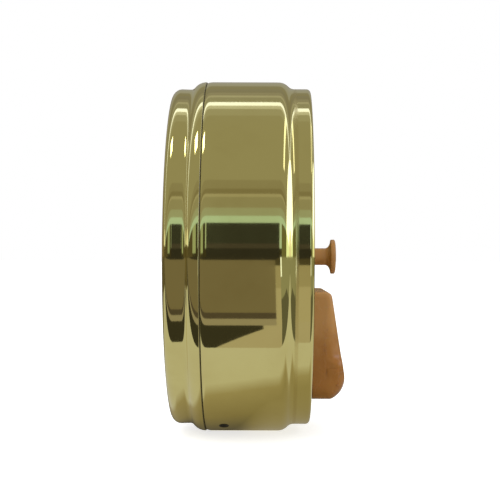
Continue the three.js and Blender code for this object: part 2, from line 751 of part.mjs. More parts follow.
// Centre arbor with its cannon pinion, and the knob on its back end
const knobBack = backEdge + KNOB_REACH;
const knobRimBack = knobBack - KNOB_DOME;
const knobRimFront = knobRimBack - KNOB_RIM;
const arborBack = knobRimFront;
const cannon = plate(gearShape(CANNON_LEAVES, MOTION_MODULE, 0), cannonFront, cannonBack - cannonFront);
add('centre_arbor', joined(rod(ARBOR_RADIUS, arborFront, arborBack), cannon), STEEL);

function settingKnob() {
  const bore = ARBOR_RADIUS + SEAT_GAP;
  const front = coverBack + LOOSE_GAP;
  const filletStart = knobRimFront - KNOB_FILLET;
  const filletHeight = KNOB_RADIUS - KNOB_NECK_RADIUS;
  const outline = [
    [arborBack + SEAT_GAP, 0],
    [arborBack + SEAT_GAP, bore],
    [front, bore],
    [front, KNOB_NECK_RADIUS],
    ...arc(filletStart, KNOB_RADIUS, KNOB_FILLET, filletHeight, 270, 360),
    ...arc(knobRimBack, 0, KNOB_DOME, KNOB_RADIUS, 90, 0),
  ];
  outline[outline.length - 1][1] = 0;
  return turned(outline, SMALL_SIDES);
}
add('setting_knob', settingKnob(), TAN_PLASTIC);

// The tray is wide enough for the cell with its contacts, and for the bridge between the cover's bosses
const plusEnd = CELL_LENGTH / 2 + CELL_NUB_LENGTH;
const minusEnd = CELL_LENGTH / 2;
const cellReach = plusEnd + SEAT_GAP + CONTACT_THICK + CONTACT_ROOM;
const bossReach = 2 * COVER_BOSS_RADIUS - COVER_BOSS_SINK;
const bridgeReach = Math.max(bridgeRight, -bridgeLeft) + LOOSE_GAP + bossReach;
const trayHalfWidth = Math.max(cellReach, bridgeReach) + TRAY_WALL;

// Battery box: outline in X and Z, and profile in Y and Z
const bulgeRadius = CELL_RADIUS + BULGE_OVER;
const cornerReach = ringInner - BOX_RIM_CLEARANCE - TRAY_CORNER;
const boxBottom = TRAY_CORNER + Math.sqrt(cornerReach ** 2 - (trayHalfWidth - TRAY_CORNER) ** 2);
const boxBack = backEdge + BOX_REACH;
const bulgeMiddle = [boxBack - bulgeRadius, bulgeRadius - boxBottom];

function boxOutline(inset, top, topCorner) {
  const side = trayHalfWidth - inset;
  return roundedRectangle(
    -side, side, inset - boxBottom, top - inset, TRAY_CORNER - inset, topCorner - inset);
}

function boxProfile(inset, front) {
  const slope = THREE.MathUtils.radToDeg(BOX_SLOPE);
  const tangentY = bulgeMiddle[0] + bulgeRadius * Math.cos(BOX_SLOPE);
  const tangentZ = bulgeMiddle[1] + bulgeRadius * Math.sin(BOX_SLOPE);
  const cornerY = tangentY - (-BOX_TOP - tangentZ) * Math.tan(BOX_SLOPE);
  const roundY = cornerY - BOX_TOP_ROUND / Math.tan((Math.PI / 2 + BOX_SLOPE) / 2);
  const topRound = BOX_TOP_ROUND - inset;
  const bulge = bulgeRadius - inset;
  return polygon([
    [front, -BOX_TOP - inset],
    ...arc(roundY, -BOX_TOP - BOX_TOP_ROUND, topRound, topRound, 90, slope),
    ...arc(...bulgeMiddle, bulge, bulge, slope, 0, 1).slice(0, 1),
    ...arc(...bulgeMiddle, bulge, bulge, 0, -90, BULGE_STEPS),
    [front, inset - boxBottom],
  ]);
}

const boxDepth = boxBack - coverFront;
const boxSolid = common(
  prismAcross(boxProfile(0, coverFront), trayHalfWidth),
  plate(boxOutline(0, -BOX_TOP, BOX_TOP_CORNER), coverFront - CUT_OVER, boxDepth + 2 * CUT_OVER));
const boxPocket = common(
  prismAcross(boxProfile(TRAY_WALL, coverFront - CUT_OVER), trayHalfWidth),
  plate(
    boxOutline(TRAY_WALL, -BOX_TOP, BOX_TOP_CORNER), coverFront - 2 * CUT_OVER, boxDepth + 3 * CUT_OVER));
const doorFront = backEdge + DOOR_STEP;
const outside = 2 * trayHalfWidth;

function doorSpace(gap) {
  return block(-outside, outside, doorFront - gap, boxBack + outside, -2 * boxBottom, 0);
}

// Cover of the movement, with the battery box on it
const coverScrewX = trayHalfWidth - TRAY_WALL - COVER_BOSS_RADIUS + COVER_BOSS_SINK;
const coverScrewPlaces = [
  [-coverScrewX, TRAY_TOP - COVER_SCREW_DROP],
  [coverScrewX, TRAY_TOP - COVER_SCREW_DROP],
  [-coverScrewX, 0],
  [coverScrewX, 0],
];

function movementCover() {
  const slab = drill(boxOutline(0, TRAY_TOP, TRAY_CORNER), 0, 0, ARBOR_RADIUS + LOOSE_GAP);
  for (const [x, z] of coverScrewPlaces) drill(slab, x, z, SMALL_SCREW_RADIUS + RUN_GAP);
  const whole = joined(plate(slab, coverFront, COVER_PLATE), boxSolid);
  return cut(whole, boxPocket, doorSpace(LOOSE_GAP));
}
add('movement_cover', movementCover(), TAN_PLASTIC);

// Battery cover: all of the box behind the drum's back edge, with a finger rib on each side
function batteryCover() {
  const shell = cut(common(boxSolid, doorSpace(0)), boxPocket);
  const gripBack = boxBack - GRIP_INSET;
  const gripMiddle = GRIP_HEIGHT - boxBottom;
  const ribs = [-1, 1].map((side) => {
    const inner = side * (trayHalfWidth - TRAY_WALL / 2);
    const outer = side * (trayHalfWidth + GRIP_PROUD);
    return block(Math.min(inner, outer), Math.max(inner, outer), gripBack - GRIP_LENGTH, gripBack,
      gripMiddle - GRIP_THICK / 2, gripMiddle + GRIP_THICK / 2);
  });
  return joined(shell, ...ribs);
}
add('battery_cover', batteryCover(), TAN_PLASTIC);

// Bridge over the train
const pivotHole = PIVOT_RADIUS + RUN_GAP;
function trainBridge() {
  const heights = bridgeHeld.map(([, z]) => z);
  const shape = roundedRectangle(bridgeLeft, bridgeRight,
    Math.min(...heights) - BRIDGE_MARGIN, Math.max(...heights) + BRIDGE_MARGIN, BRIDGE_MARGIN);
  drill(shape, 0, 0, ARBOR_RADIUS + LOOSE_GAP);
  for (const [x, z] of pivotPlaces) drill(shape, x, z, pivotHole);
  for (const [x, z] of bridgePosts) drill(shape, x, z, SMALL_SCREW_RADIUS + RUN_GAP);
  return plate(shape, bridgeFront, BRIDGE_THICK);
}
add('train_bridge', trainBridge(), PLAIN_BRASS);

// Motor: stator plate around the rotor, and a coil on a core across its arms
const statorHole = MAGNET_RADIUS + AIR_GAP;
const yokeTop = rotorPlace[1] + statorHole + STATOR_RIM;
const yokeBottom = rotorPlace[1] - statorHole - STATOR_RIM;
const coreMiddle = yokeBottom - COIL_RADIUS - AIR_GAP;
const armInner = STATOR_HALF_WIDTH - STATOR_ARM_WIDTH;
const armEnd = coreMiddle - CORE_HEIGHT / 2;
const statorScrewX = (STATOR_HALF_WIDTH + armInner) / 2;
const statorScrewPlaces = [[-statorScrewX, coreMiddle], [statorScrewX, coreMiddle]];

function statorPlate() {
  const shape = polygon([
    [-STATOR_HALF_WIDTH, armEnd],
    [-armInner, armEnd],
    [-armInner, yokeBottom],
    [armInner, yokeBottom],
    [armInner, armEnd],
    [STATOR_HALF_WIDTH, armEnd],
    [STATOR_HALF_WIDTH, yokeBottom],
    [rotorPlace[0] + statorHole + STATOR_RIM, yokeTop],
    [rotorPlace[0] - statorHole - STATOR_RIM, yokeTop],
    [-STATOR_HALF_WIDTH, yokeBottom],
  ]);
  drill(shape, ...rotorPlace, statorHole);
  for (const [x, z] of statorScrewPlaces) drill(shape, x, z, SMALL_SCREW_RADIUS + RUN_GAP);
  return plate(shape, statorFront, STATOR_THICK);
}
add('stator', statorPlate(), STEEL);

const coreFront = statorBack + SEAT_GAP;
const coreBack = coreFront + CORE_THICK;
function coilCore() {
  const shape = roundedRectangle(
    -STATOR_HALF_WIDTH, STATOR_HALF_WIDTH, armEnd, armEnd + CORE_HEIGHT, CORE_CORNER);
  for (const [x, z] of statorScrewPlaces) drill(shape, x, z, SMALL_SCREW_RADIUS + RUN_GAP);
  return plate(shape, coreFront, CORE_THICK);
}
add('coil_core', coilCore(), STEEL);

// Coil: winding and flanges of its bobbin, lying across the clock
function coil() {
  const end = armInner - AIR_GAP;
  const winding = COIL_RADIUS - COIL_FLANGE;
  return turned([
    [-end, COIL_BORE],
    [-end, COIL_RADIUS],
    [COIL_FLANGE - end, COIL_RADIUS],
    [COIL_FLANGE - end, winding],
    [end - COIL_FLANGE, winding],
    [end - COIL_FLANGE, COIL_RADIUS],
    [end, COIL_RADIUS],
    [end, COIL_BORE],
  ], SMALL_SIDES);
}
add('coil', coil(), COPPER, 0, (coreFront + coreBack) / 2, coreMiddle).rotation.z = -Math.PI / 2;

// Circuit board on two ledges of the tray
const boardHalfWidth = trayHalfWidth - TRAY_WALL - BOARD_SIDE_ROOM;
const boardFront = trayFloor + BOARD_PLACE;
const boardBack = boardFront + BOARD_THICK;
const boardBottom = TRAY_WALL + LOOSE_GAP - boxBottom;
const boardMiddle = boardBottom + BOARD_HEIGHT / 2;
add('circuit_board', block(-boardHalfWidth, boardHalfWidth, boardFront, boardBack,
  boardBottom, boardBottom + BOARD_HEIGHT), BOARD_GREEN);
const canPlace = [-boardHalfWidth / 2, boardBack + SEAT_GAP + CAN_RADIUS, boardMiddle];
const can = rod(CAN_RADIUS, -CAN_LENGTH / 2, CAN_LENGTH / 2);
add('quartz_can', can, STEEL, ...canPlace).rotation.z = -Math.PI / 2;

function driverChip() {
  const outline = [[0, 0], ...arc(0, 0, CHIP_HEIGHT, CHIP_RADIUS, 90, 0, 3)];
  outline[outline.length - 1][1] = 0;
  return turned(outline, PIN_SIDES);
}
add('driver_chip', driverChip(), DARK_PLASTIC, boardHalfWidth / 3, boardBack + SEAT_GAP, boardMiddle);

// Battery: an AA cell lying across the box
const cellPlace = [
  0,
  boxBack - TRAY_WALL - CELL_ROOM - bulgeRadius,
  TRAY_WALL + CELL_ROOM + CELL_RADIUS - boxBottom,
];
function cell() {
  const half = CELL_LENGTH / 2;
  return turned([
    [-half, 0],
    [-half, CELL_RADIUS - CELL_EDGE],
    [CELL_EDGE - half, CELL_RADIUS],
    [half - CELL_EDGE, CELL_RADIUS],
    [half, CELL_RADIUS - CELL_EDGE],
    [half, CELL_NUB_RADIUS],
    [half + CELL_NUB_LENGTH, CELL_NUB_RADIUS],
    [half + CELL_NUB_LENGTH, 0],
  ], SMALL_SIDES);
}
add('battery', cell(), CELL_WRAP, ...cellPlace).rotation.z = -Math.PI / 2;

// Battery contacts: strips along the side walls, from the cell's ends to the board
function contactStrip(side, cellEnd) {
  const near = cellEnd + SEAT_GAP;
  const far = near + CONTACT_THICK;
  const foot = boardHalfWidth - CONTACT_FOOT;
  const front = boardBack + SEAT_GAP;
  const back = cellPlace[1] + CELL_NUB_RADIUS;
  const points = [
    [foot, front],
    [far, front],
    [far, back],
    [near, back],
    [near, front + CONTACT_THICK],
    [foot, front + CONTACT_THICK],
  ];
  return prismUp(polygon(points.map(([x, y]) => [side * x, y])), cellPlace[2], CONTACT_WIDTH);
}
add('battery_contact_plus', contactStrip(1, plusEnd), STEEL);
add('battery_contact_minus', contactStrip(-1, minusEnd), STEEL);

// Movement tray: walls, floor, posts and ledges
function movementTray() {
  const height = trayBack - trayFront;
  const shell = plate(boxOutline(0, TRAY_TOP, TRAY_CORNER), trayFront, height);
  const hollow = plate(boxOutline(TRAY_WALL, TRAY_TOP, TRAY_CORNER), trayFloor, height);
  const root = trayFloor - TRAY_FLOOR / 2;
  const standing = [];
  for (const [x, z] of bridgePosts) {
    standing.push(moved(rod(POST_RADIUS, root, bridgeFront - SEAT_GAP), x, 0, z));
  }
  for (const [x, z] of coverScrewPlaces) {
    standing.push(moved(rod(COVER_BOSS_RADIUS, root, trayBack), x, 0, z));
  }
  for (const [x, z] of statorScrewPlaces) {
    standing.push(moved(rod(POST_RADIUS, root, statorFront - SEAT_GAP), x, 0, z));
  }
  const [studX, studZ] = minutePlace;
  standing.push(moved(rod(TRAIN_ARBOR_RADIUS, root, cannonBack), studX, 0, studZ));
  const wallMiddle = trayHalfWidth - TRAY_WALL / 2;
  const ledgeInner = boardHalfWidth - LEDGE_WIDTH;
  for (const [low, high] of [[-wallMiddle, -ledgeInner], [ledgeInner, wallMiddle]]) {
    const ledgeFoot = TRAY_WALL / 2 - boxBottom;
    standing.push(block(low, high, root, boardFront - SEAT_GAP, ledgeFoot, boardMiddle));
  }
  const screwHole = SMALL_SCREW_RADIUS + SEAT_GAP;
  const holes = [rod(bushHole, trayFront - CUT_OVER, flangeFront, SMALL_SIDES)];
  for (const [x, z] of pivotPlaces) {
    holes.push(moved(rod(pivotHole, trayFront - CUT_OVER, trayFloor + CUT_OVER), x, 0, z));
  }
  for (const [x, z] of bridgePosts) {
    holes.push(moved(rod(screwHole, bridgeFront - SMALL_SCREW_LENGTH, bridgeBack), x, 0, z));
  }
  for (const [x, z] of coverScrewPlaces) {
    holes.push(moved(rod(screwHole, trayBack - SMALL_SCREW_LENGTH, coverBack), x, 0, z));
  }
  for (const [x, z] of statorScrewPlaces) {
    holes.push(moved(rod(screwHole, coreBack - SMALL_SCREW_LENGTH - SEAT_GAP, coreBack), x, 0, z));
  }
  return cut(joined(cut(shell, hollow), ...standing), ...holes);
}
add('movement_tray', movementTray(), WHITE_PLASTIC);

// Back plate around the knob and the battery box
function backPlate() {
  const shape = polygon(circle(0, 0, ringInner - LOOSE_GAP, RING_SIDES));
  drill(shape, 0, 0, KNOB_NECK_RADIUS + LOOSE_GAP, SMALL_SIDES);
  for (const bearing of screwBearings) {
    drill(shape, ...onCircle(screwCircle, bearing), BACK_SCREW_RADIUS + RUN_GAP);
  }
  const opening = boxOutline(-LOOSE_GAP, -BOX_TOP, BOX_TOP_CORNER).getPoints();
  shape.holes.push(new THREE.Path(opening.reverse()));
  return plate(shape, plateFront, PLATE_THICK);
}
add('back_plate', backPlate(), PLAIN_BRASS);

// Screws with slotted heads, drawn with the underside of the head at zero
function screw(radius, length, headRadius, headHeight) {
  const whole = turned([
    [-length, 0],
    [-length, radius],
    [0, radius],
    [0, headRadius],
    [headHeight * SLOT_SHARE, headRadius],
    [headHeight, headRadius * (1 - SLOT_SHARE / 4)],
    [headHeight, 0],
  ], SCREW_SIDES);
  const slotFloor = headHeight * (1 - SLOT_SHARE);
  const slot = block(
    -2 * headRadius, 2 * headRadius, slotFloor, 2 * headHeight, -SLOT_WIDTH / 2, SLOT_WIDTH / 2);
  return cut(whole, slot);
}

function addScrews(name, places, geometry, seat) {
  places.forEach(([x, z], index) => add(`${name}_${index + 1}`, geometry, STEEL, x, seat + SEAT_GAP, z));
}
const backScrew = screw(BACK_SCREW_RADIUS, BACK_SCREW_LENGTH, BACK_HEAD_RADIUS, BACK_HEAD_HEIGHT);
const smallScrew = screw(SMALL_SCREW_RADIUS, SMALL_SCREW_LENGTH, SMALL_HEAD_RADIUS, SMALL_HEAD_HEIGHT);
const backScrewPlaces = screwBearings.map((bearing) => onCircle(screwCircle, bearing));
addScrews('back_screw', backScrewPlaces, backScrew, plateBack);
addScrews('cover_screw', coverScrewPlaces, smallScrew, coverBack);
addScrews('bridge_screw', bridgePosts, smallScrew, bridgeBack);
addScrews('stator_screw', statorScrewPlaces, smallScrew, coreBack);

// Origin under the middle of the clock, on the surface that it stands on
clock.position.set(0, -(bezelFront + boxBack) / 2, flatRadius);

export default clock;
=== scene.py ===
import json
import math

import bmesh
import bpy
from bpy.props import FloatProperty, FloatVectorProperty, PointerProperty
from mathutils import Matrix, Vector


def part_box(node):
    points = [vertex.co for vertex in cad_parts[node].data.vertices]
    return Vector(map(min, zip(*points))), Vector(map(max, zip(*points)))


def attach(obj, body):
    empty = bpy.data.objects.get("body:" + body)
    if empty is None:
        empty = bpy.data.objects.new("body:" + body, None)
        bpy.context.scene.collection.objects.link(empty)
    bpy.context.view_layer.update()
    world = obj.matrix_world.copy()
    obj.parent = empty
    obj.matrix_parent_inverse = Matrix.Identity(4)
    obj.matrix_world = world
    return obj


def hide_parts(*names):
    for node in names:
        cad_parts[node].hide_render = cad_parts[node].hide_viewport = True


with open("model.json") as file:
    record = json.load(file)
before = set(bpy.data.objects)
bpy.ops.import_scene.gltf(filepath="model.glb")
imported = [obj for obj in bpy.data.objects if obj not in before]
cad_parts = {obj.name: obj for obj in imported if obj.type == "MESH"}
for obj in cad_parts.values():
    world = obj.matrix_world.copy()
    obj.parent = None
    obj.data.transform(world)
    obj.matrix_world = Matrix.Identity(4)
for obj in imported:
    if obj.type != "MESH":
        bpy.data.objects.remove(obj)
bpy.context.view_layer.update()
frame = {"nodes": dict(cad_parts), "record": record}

bl_info = {
    "name": "Brass drum desk clock",
    "version": (1, 0, 0),
    "blender": (4, 5, 0),
    "location": "3D View > Sidebar > Desk Clock",
    "description": "Dresses the frame of a brass drum desk clock with smooth pieces and finishes",
    "category": "Object",
}

MM = 0.001

# Places read from the frame, in metres. The clock's axis runs along Y and the dial faces -Y
DRUM_LOW, DRUM_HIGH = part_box("case_drum")
BEZEL_LOW, BEZEL_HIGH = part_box("bezel_ring")
GLASS_LOW, GLASS_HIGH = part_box("crystal_glass")
DIAL_LOW, DIAL_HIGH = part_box("dial")
PLATE_LOW, PLATE_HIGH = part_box("back_plate")
KNOB_LOW, KNOB_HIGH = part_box("setting_knob")
COVER_LOW, COVER_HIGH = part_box("movement_cover")
DOOR_LOW, DOOR_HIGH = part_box("battery_cover")
CELL_LOW, CELL_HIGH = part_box("battery")
AXIS_HEIGHT = (DRUM_LOW.z + DRUM_HIGH.z) / 2
DRUM_RADIUS = DRUM_HIGH.x
BACK_EDGE = DRUM_HIGH.y

# The seam between drum and bezel, a little behind the drum's front edge
SEAM_SET = 0.33 * MM
SEAM = DRUM_LOW.y + SEAM_SET

# Bearings of the back's screws clockwise from the top, seen from the front
SCREW_BEARINGS = (45, -45, -135, 135)
SCREW_LOW, SCREW_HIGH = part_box("back_screw_1")
SCREW_CIRCLE = math.hypot((SCREW_LOW.x + SCREW_HIGH.x) / 2, (SCREW_LOW.z + SCREW_HIGH.z) / 2 - AXIS_HEIGHT)

# Turn of each screw's slot beyond the one before, in degrees, and half the length of the tool that cuts it
SLOT_TURN = 37
SLOT_REACH = 10 * MM

# Steps around large turned pieces, small ones and screws, and along arcs, corners, straights and bevels
ROUND_STEPS = 192
SMALL_STEPS = 64
SCREW_STEPS = 40
ARC_STEPS = 12
CORNER_STEPS = 4
STRAIGHT_STEPS = 56
BEVEL_STEPS = 3

# Bends up to which an outline stays as drawn and an edge shades smooth
SOFT_BEND = math.radians(25)
SHARP_EDGE = math.radians(32)

# How many corner rounds a straight has room for, and the distances at which points count as one
CORNER_ROOM = 2.1
TINY = 1e-7
WELD = 20 * TINY

# Gap between seated pieces
SEAT_GAP = 0.1 * MM

# Distance of a straight's guard points from its ends, and the length from which a straight has them
GUARD = 0.2 * MM
GUARD_LEAST = 0.9 * MM

# Shares of the way along their double curves over which the shoulder and the bezel are round, not hollow
SHOULDER_SHARE = 0.6
BEZEL_SHARE = 0.72

# How late the drum's polished-down front edge and the fall before its shoulder drop
ROLL_POWER = 3.5
LEAD_POWER = 2.0

# Shares of the way down the battery box's back between which its side edges narrow in a crease
CREASE = (0.72, 0.83)

# Share of the way back at which the faces of the battery box's flanks meet
FLANK_SHARE = 0.35

# The cell's end rims as shares of its radius, and its dished ends and nub as shares of the nub's height
CELL_RIMS = (0.7, 0.75)
CELL_DISH = 0.25
CELL_NUB_RADIUS = 2.2

# Softening of the cell's edges against the other pieces', its copper share, and the bare steel at each end
CELL_SOFT = 4
CELL_COPPER = 0.3
CELL_BARE = 2.6 * MM

# Degrees between minutes and hours, hour marks against minute marks, and the hour figures
MINUTE_TURN = 6
HOUR_TURN = 30
HOUR_MARK = 3
ROMAN = ("I", "II", "III", "IIII", "V", "VI", "VII", "VIII", "IX", "X", "XI", "XII")

# Widths of the figures' letters, strokes and serifs as shares of their height
LETTER_WIDTHS = {"I": 0.26, "V": 0.52, "X": 0.52}
THICK = 0.13
THIN = 0.045
SERIF = 0.05

# The hands' spade: its start and end along the hand, how early and sharply it swells, and its neck's fall
SPADE = (0.52, 0.93)
SPADE_EARLY = 0.75
SPADE_SHARP = 1.3
SPADE_NARROWS = 0.6

# The skirt of the cap in front of the hands as a share of its height
CAP_SKIRT = 0.2

# Fineness of the brass's turning lines, scores and brushing: per metre across them, and per radian around
LINES = 5200
LINES_AROUND = 2.2
SCORES = 900
SCORES_AROUND = 30
BRUSHING = 3800
BRUSHING_AROUND = 4.0

# Colours of the finishes: the main one, then what clouds, grain, wear, dust or painted shade bring in
SATIN_BRASS = ((0.70, 0.59, 0.24), (0.50, 0.40, 0.15))
STEEL = ((0.55, 0.55, 0.54), (0.42, 0.41, 0.39))
MAGNET = ((0.05, 0.05, 0.055), (0.12, 0.12, 0.12))
TAN_WEAR = (0.14, 0.062, 0.018)
WHITE_PLASTIC = ((0.72, 0.69, 0.62), (0.64, 0.60, 0.52), (0.42, 0.39, 0.33))
RESIN = ((0.012, 0.012, 0.013), (0.03, 0.029, 0.028))
ENAMEL_WEAR = (0.035, 0.034, 0.04)
RUBBER = ((0.022, 0.019, 0.015), (0.07, 0.063, 0.05))
CLEAR = (0.97, 0.985, 0.98)
# Shares of the ivory at the dial's rim, a painted shade that the dial's clouds also deepen towards
RIM_SHADE_SHARES = (0.9, 0.84, 0.7)
BOARD = ((0.02, 0.11, 0.035), (0.025, 0.13, 0.04))
BOARD_TRACK = (0.10, 0.26, 0.09)
BOARD_WEAVE = (0.015, 0.07, 0.03)
COPPER_WIRE = ((0.18, 0.055, 0.02), (0.55, 0.20, 0.07))
JACKET = ((0.035, 0.045, 0.065), (0.52, 0.26, 0.11))
JACKET_END = (0.55, 0.55, 0.53)
BLACK = (0.0, 0.0, 0.0)
WHITE = (1.0, 1.0, 1.0)

# Light of the cards and sheets that several of them share
DARK = (0.05, 0.045, 0.03)
BROWN = (0.08, 0.07, 0.05)
DISTANT = (0.10, 0.085, 0.055)
OLIVE = (0.16, 0.15, 0.08)
PALE = (0.30, 0.31, 0.27)
BRIGHT = (1.2, 1.35, 1.9)

# Cards that the brass reflects: degrees up from the camera's side, reach along the axis in metres, and light
ALL_ALONG = (-60.0, 14.2)
MIDDLE = (-0.75, 0.65)
ROOM = (
    (-2.0, 5.0, MIDDLE, (0.034, 0.033, 0.033)),
    (5.0, 8.0, MIDDLE, (0.068, 0.062, 0.066)),
    (8.0, 20.9, MIDDLE, (0.042, 0.046, 0.046)),
    (-2.0, 5.0, (-1.3, -0.75), DARK),
    (5.0, 20.9, (-1.3, -0.75), (0.42, 0.53, 0.52)),
    (-2.0, 20.9, (-3.6, -1.3), DARK),
    (-2.0, 2.0, (-9.5, -3.6), DARK),
    (2.0, 20.9, (-9.5, -3.6), (0.36, 0.44, 0.36)),
    (-2.0, 20.9, (-60.0, -9.5), DISTANT),
    (-2.0, 5.0, (0.65, 3.0), DARK),
    (5.0, 20.9, (0.65, 3.0), (0.50, 0.68, 0.78)),
    (-2.0, 20.9, (3.0, 14.2), (0.17, 0.17, 0.10)),
    (20.9, 25.3, ALL_ALONG, (0.50, 0.70, 0.80)),
    (25.3, 30.5, ALL_ALONG, (0.37, 0.42, 0.42)),
    (30.5, 37.6, ALL_ALONG, (0.325, 0.32, 0.29)),
    (37.6, 39.6, ALL_ALONG, (0.42, 0.41, 0.39)),
    (39.6, 43.0, ALL_ALONG, (0.245, 0.225, 0.18)),
    (43.0, 49.0, ALL_ALONG, (0.30, 0.285, 0.25)),
    (49.0, 102.0, ALL_ALONG, (0.345, 0.337, 0.30)),
    (102.0, 109.5, ALL_ALONG, (0.385, 0.385, 0.37)),
    (109.5, 113.5, ALL_ALONG, (0.60, 0.62, 0.70)),
    (113.5, 118.0, ALL_ALONG, (1.35, 1.48, 2.2)),
    (118.0, 125.0, ALL_ALONG, (0.33, 0.33, 0.31)),
    (125.0, 128.0, ALL_ALONG, (0.44, 0.44, 0.43)),
    (128.0, 133.0, ALL_ALONG, (0.31, 0.30, 0.28)),
    (133.0, 140.0, ALL_ALONG, (0.26, 0.25, 0.22)),
    (140.0, 148.0, ALL_ALONG, (0.27, 0.255, 0.19)),
    (148.0, 166.0, ALL_ALONG, (0.345, 0.34, 0.29)),
    (166.0, 181.0, ALL_ALONG, (0.22, 0.17, 0.11)),
)

# Bright cards a little nearer than the others, the two radii, and the most degrees that a card's face spans
LIGHTS = (
    (20.9, 150.0, (14.2, 60.0), (2.1, 2.3, 3.2)),
    (-0.3, 20.9, (14.2, 60.0), (1.05, 1.25, 1.2)),
    (62.0, 113.0, (4.8, 6.6), (1.7, 1.75, 1.9)),
    (76.0, 90.0, (-6.2, -3.4), (6.0, 6.0, 5.8)),
)
CARD_RADIUS = 10.0
LIGHT_RADIUS = 9.9
CARD_BEND = 3.0

# Sheets on the table that the brass reflects: corners across and along the clock in metres, and their light
TABLE = (
    (((0.072, -6.0), (0.097, -6.0), (0.097, 0.002), (0.092, 0.002), (0.072, -0.014)), (0.043, 0.041, 0.036)),
    (((0.072, -0.014), (0.092, 0.002), (0.097, 0.002), (0.097, 0.03), (0.072, 0.022)), (0.46, 0.43, 0.42)),
    (((0.097, -6.0), (0.107, -6.0), (0.107, 0.008), (0.097, 0.008)), (0.33, 0.305, 0.31)),
    (((0.107, -6.0), (0.118, -6.0), (0.118, 0.008), (0.107, 0.008)), (0.09, 0.075, 0.075)),
    (((0.118, -6.0), (1.6, -6.0), (1.6, 0.022), (0.118, 0.008)), (0.20, 0.174, 0.145)),
    (((1.6, -6.0), (10.0, -6.0), (10.0, 0.65), (1.6, 0.022)), (0.036, 0.034, 0.033)),
    (((-10.0, -60.0), (10.0, -60.0), (10.0, -6.0), (-10.0, -6.0)), DISTANT),
    (((-10.0, -6.0), (0.072, -6.0), (0.072, -0.3), (-10.0, -0.3)), (0.12, 0.10, 0.065)),
    (((0.097, 0.008), (0.118, 0.008), (0.2, 0.0088), (0.2, 0.0417), (0.097, 0.03)), (0.46, 0.43, 0.40)),
    (((0.2, 0.0088), (0.65, 0.013), (0.65, 0.0925), (0.2, 0.0417)), (0.38, 0.35, 0.30)),
    (((0.65, 0.013), (1.6, 0.022), (1.6, 0.2), (0.65, 0.0925)), BROWN),
    (((1.6, 0.022), (10.0, 0.65), (10.0, 1.2), (1.6, 0.2)), BROWN),
    (((0.3, 0.053), (1.6, 0.2), (1.6, 0.45), (0.3, 0.095)), BRIGHT),
    (((1.6, 0.2), (10.0, 1.2), (10.0, 2.75), (1.6, 0.45)), BRIGHT),
    (((0.15, 0.036), (0.3, 0.053), (0.3, 0.095), (0.3, 30.0), (0.15, 30.0)), PALE),
    (((0.3, 0.095), (1.6, 0.45), (10.0, 2.75), (10.0, 30.0), (0.3, 30.0)), PALE),
    (((0.072, 0.022), (0.097, 0.03), (0.15, 0.036), (0.15, 0.17), (0.072, 0.17)), (0.13, 0.13, 0.115)),
    (((0.072, 0.17), (0.15, 0.17), (0.15, 30.0), (0.072, 30.0)), PALE),
    (((-10.0, -0.3), (-0.06, -0.3), (-0.06, 30.0), (-10.0, 30.0)), OLIVE),
    (((-0.06, 0.5), (0.072, 0.5), (0.072, 30.0), (-0.06, 30.0)), OLIVE),
)
TABLE_LIFT = 0.2 * MM

# The sheet under the clock, a painted shadow of the clock on the table as the brass reflects it, whose light
# follows a share across its reach that turns with the way along
NEAR_CORNERS = ((-0.06, -0.3), (0.072, -0.3), (0.072, 0.5), (-0.06, 0.5))
NEAR_REACH = (0.005, 0.072)
NEAR_TURN = 0.25

# The bend in front of which that share rises more steeply, and the stretches over which its least one rises,
# which pale the painted shadow towards the back
NEAR_BEND = -0.02
NEAR_STEEP = 1.6
NEAR_RISES = ((-0.016, 0.006, 0.44), (0.022, 0.044, 0.26))

# The sheet's light by that share: painted shadow, darkest at the clock's foot, paling out to the lit table
PAINTED_SHADOW_LIGHT = (
    (0.0, (0.045, 0.04, 0.027)),
    (0.2, (0.15, 0.13, 0.08)),
    (0.33, (0.265, 0.23, 0.14)),
    (0.55, (0.375, 0.34, 0.26)),
    (0.66, (0.57, 0.58, 0.62)),
    (1.0, (0.57, 0.58, 0.64)),
)

# The wall at the far end of the room in front of the clock: its place along, its height and its light
END_WALL = -60.0
END_HEIGHT = 3.8
END_LIGHT = (0.12, 0.10, 0.06)

# Half the width of the floor, and the places of the two large soft lamps and their size, in metres
FLOOR_REACH = 14.0
KEY_PLACE = (0.7, 0.35, 1.1)
DIAL_PLACE = (-0.3, -1.0, 0.9)
LAMP_SIZE = 1.2


def length(name, description, default):
    """A setting for a length in metres."""
    return FloatProperty(name=name, description=description, default=default, precision=5, unit="LENGTH")


def tint(name, description, default):
    """A setting for a linear colour."""
    return FloatVectorProperty(
        name=name, description=description, default=default, size=3, min=0, max=1, subtype="COLOR")


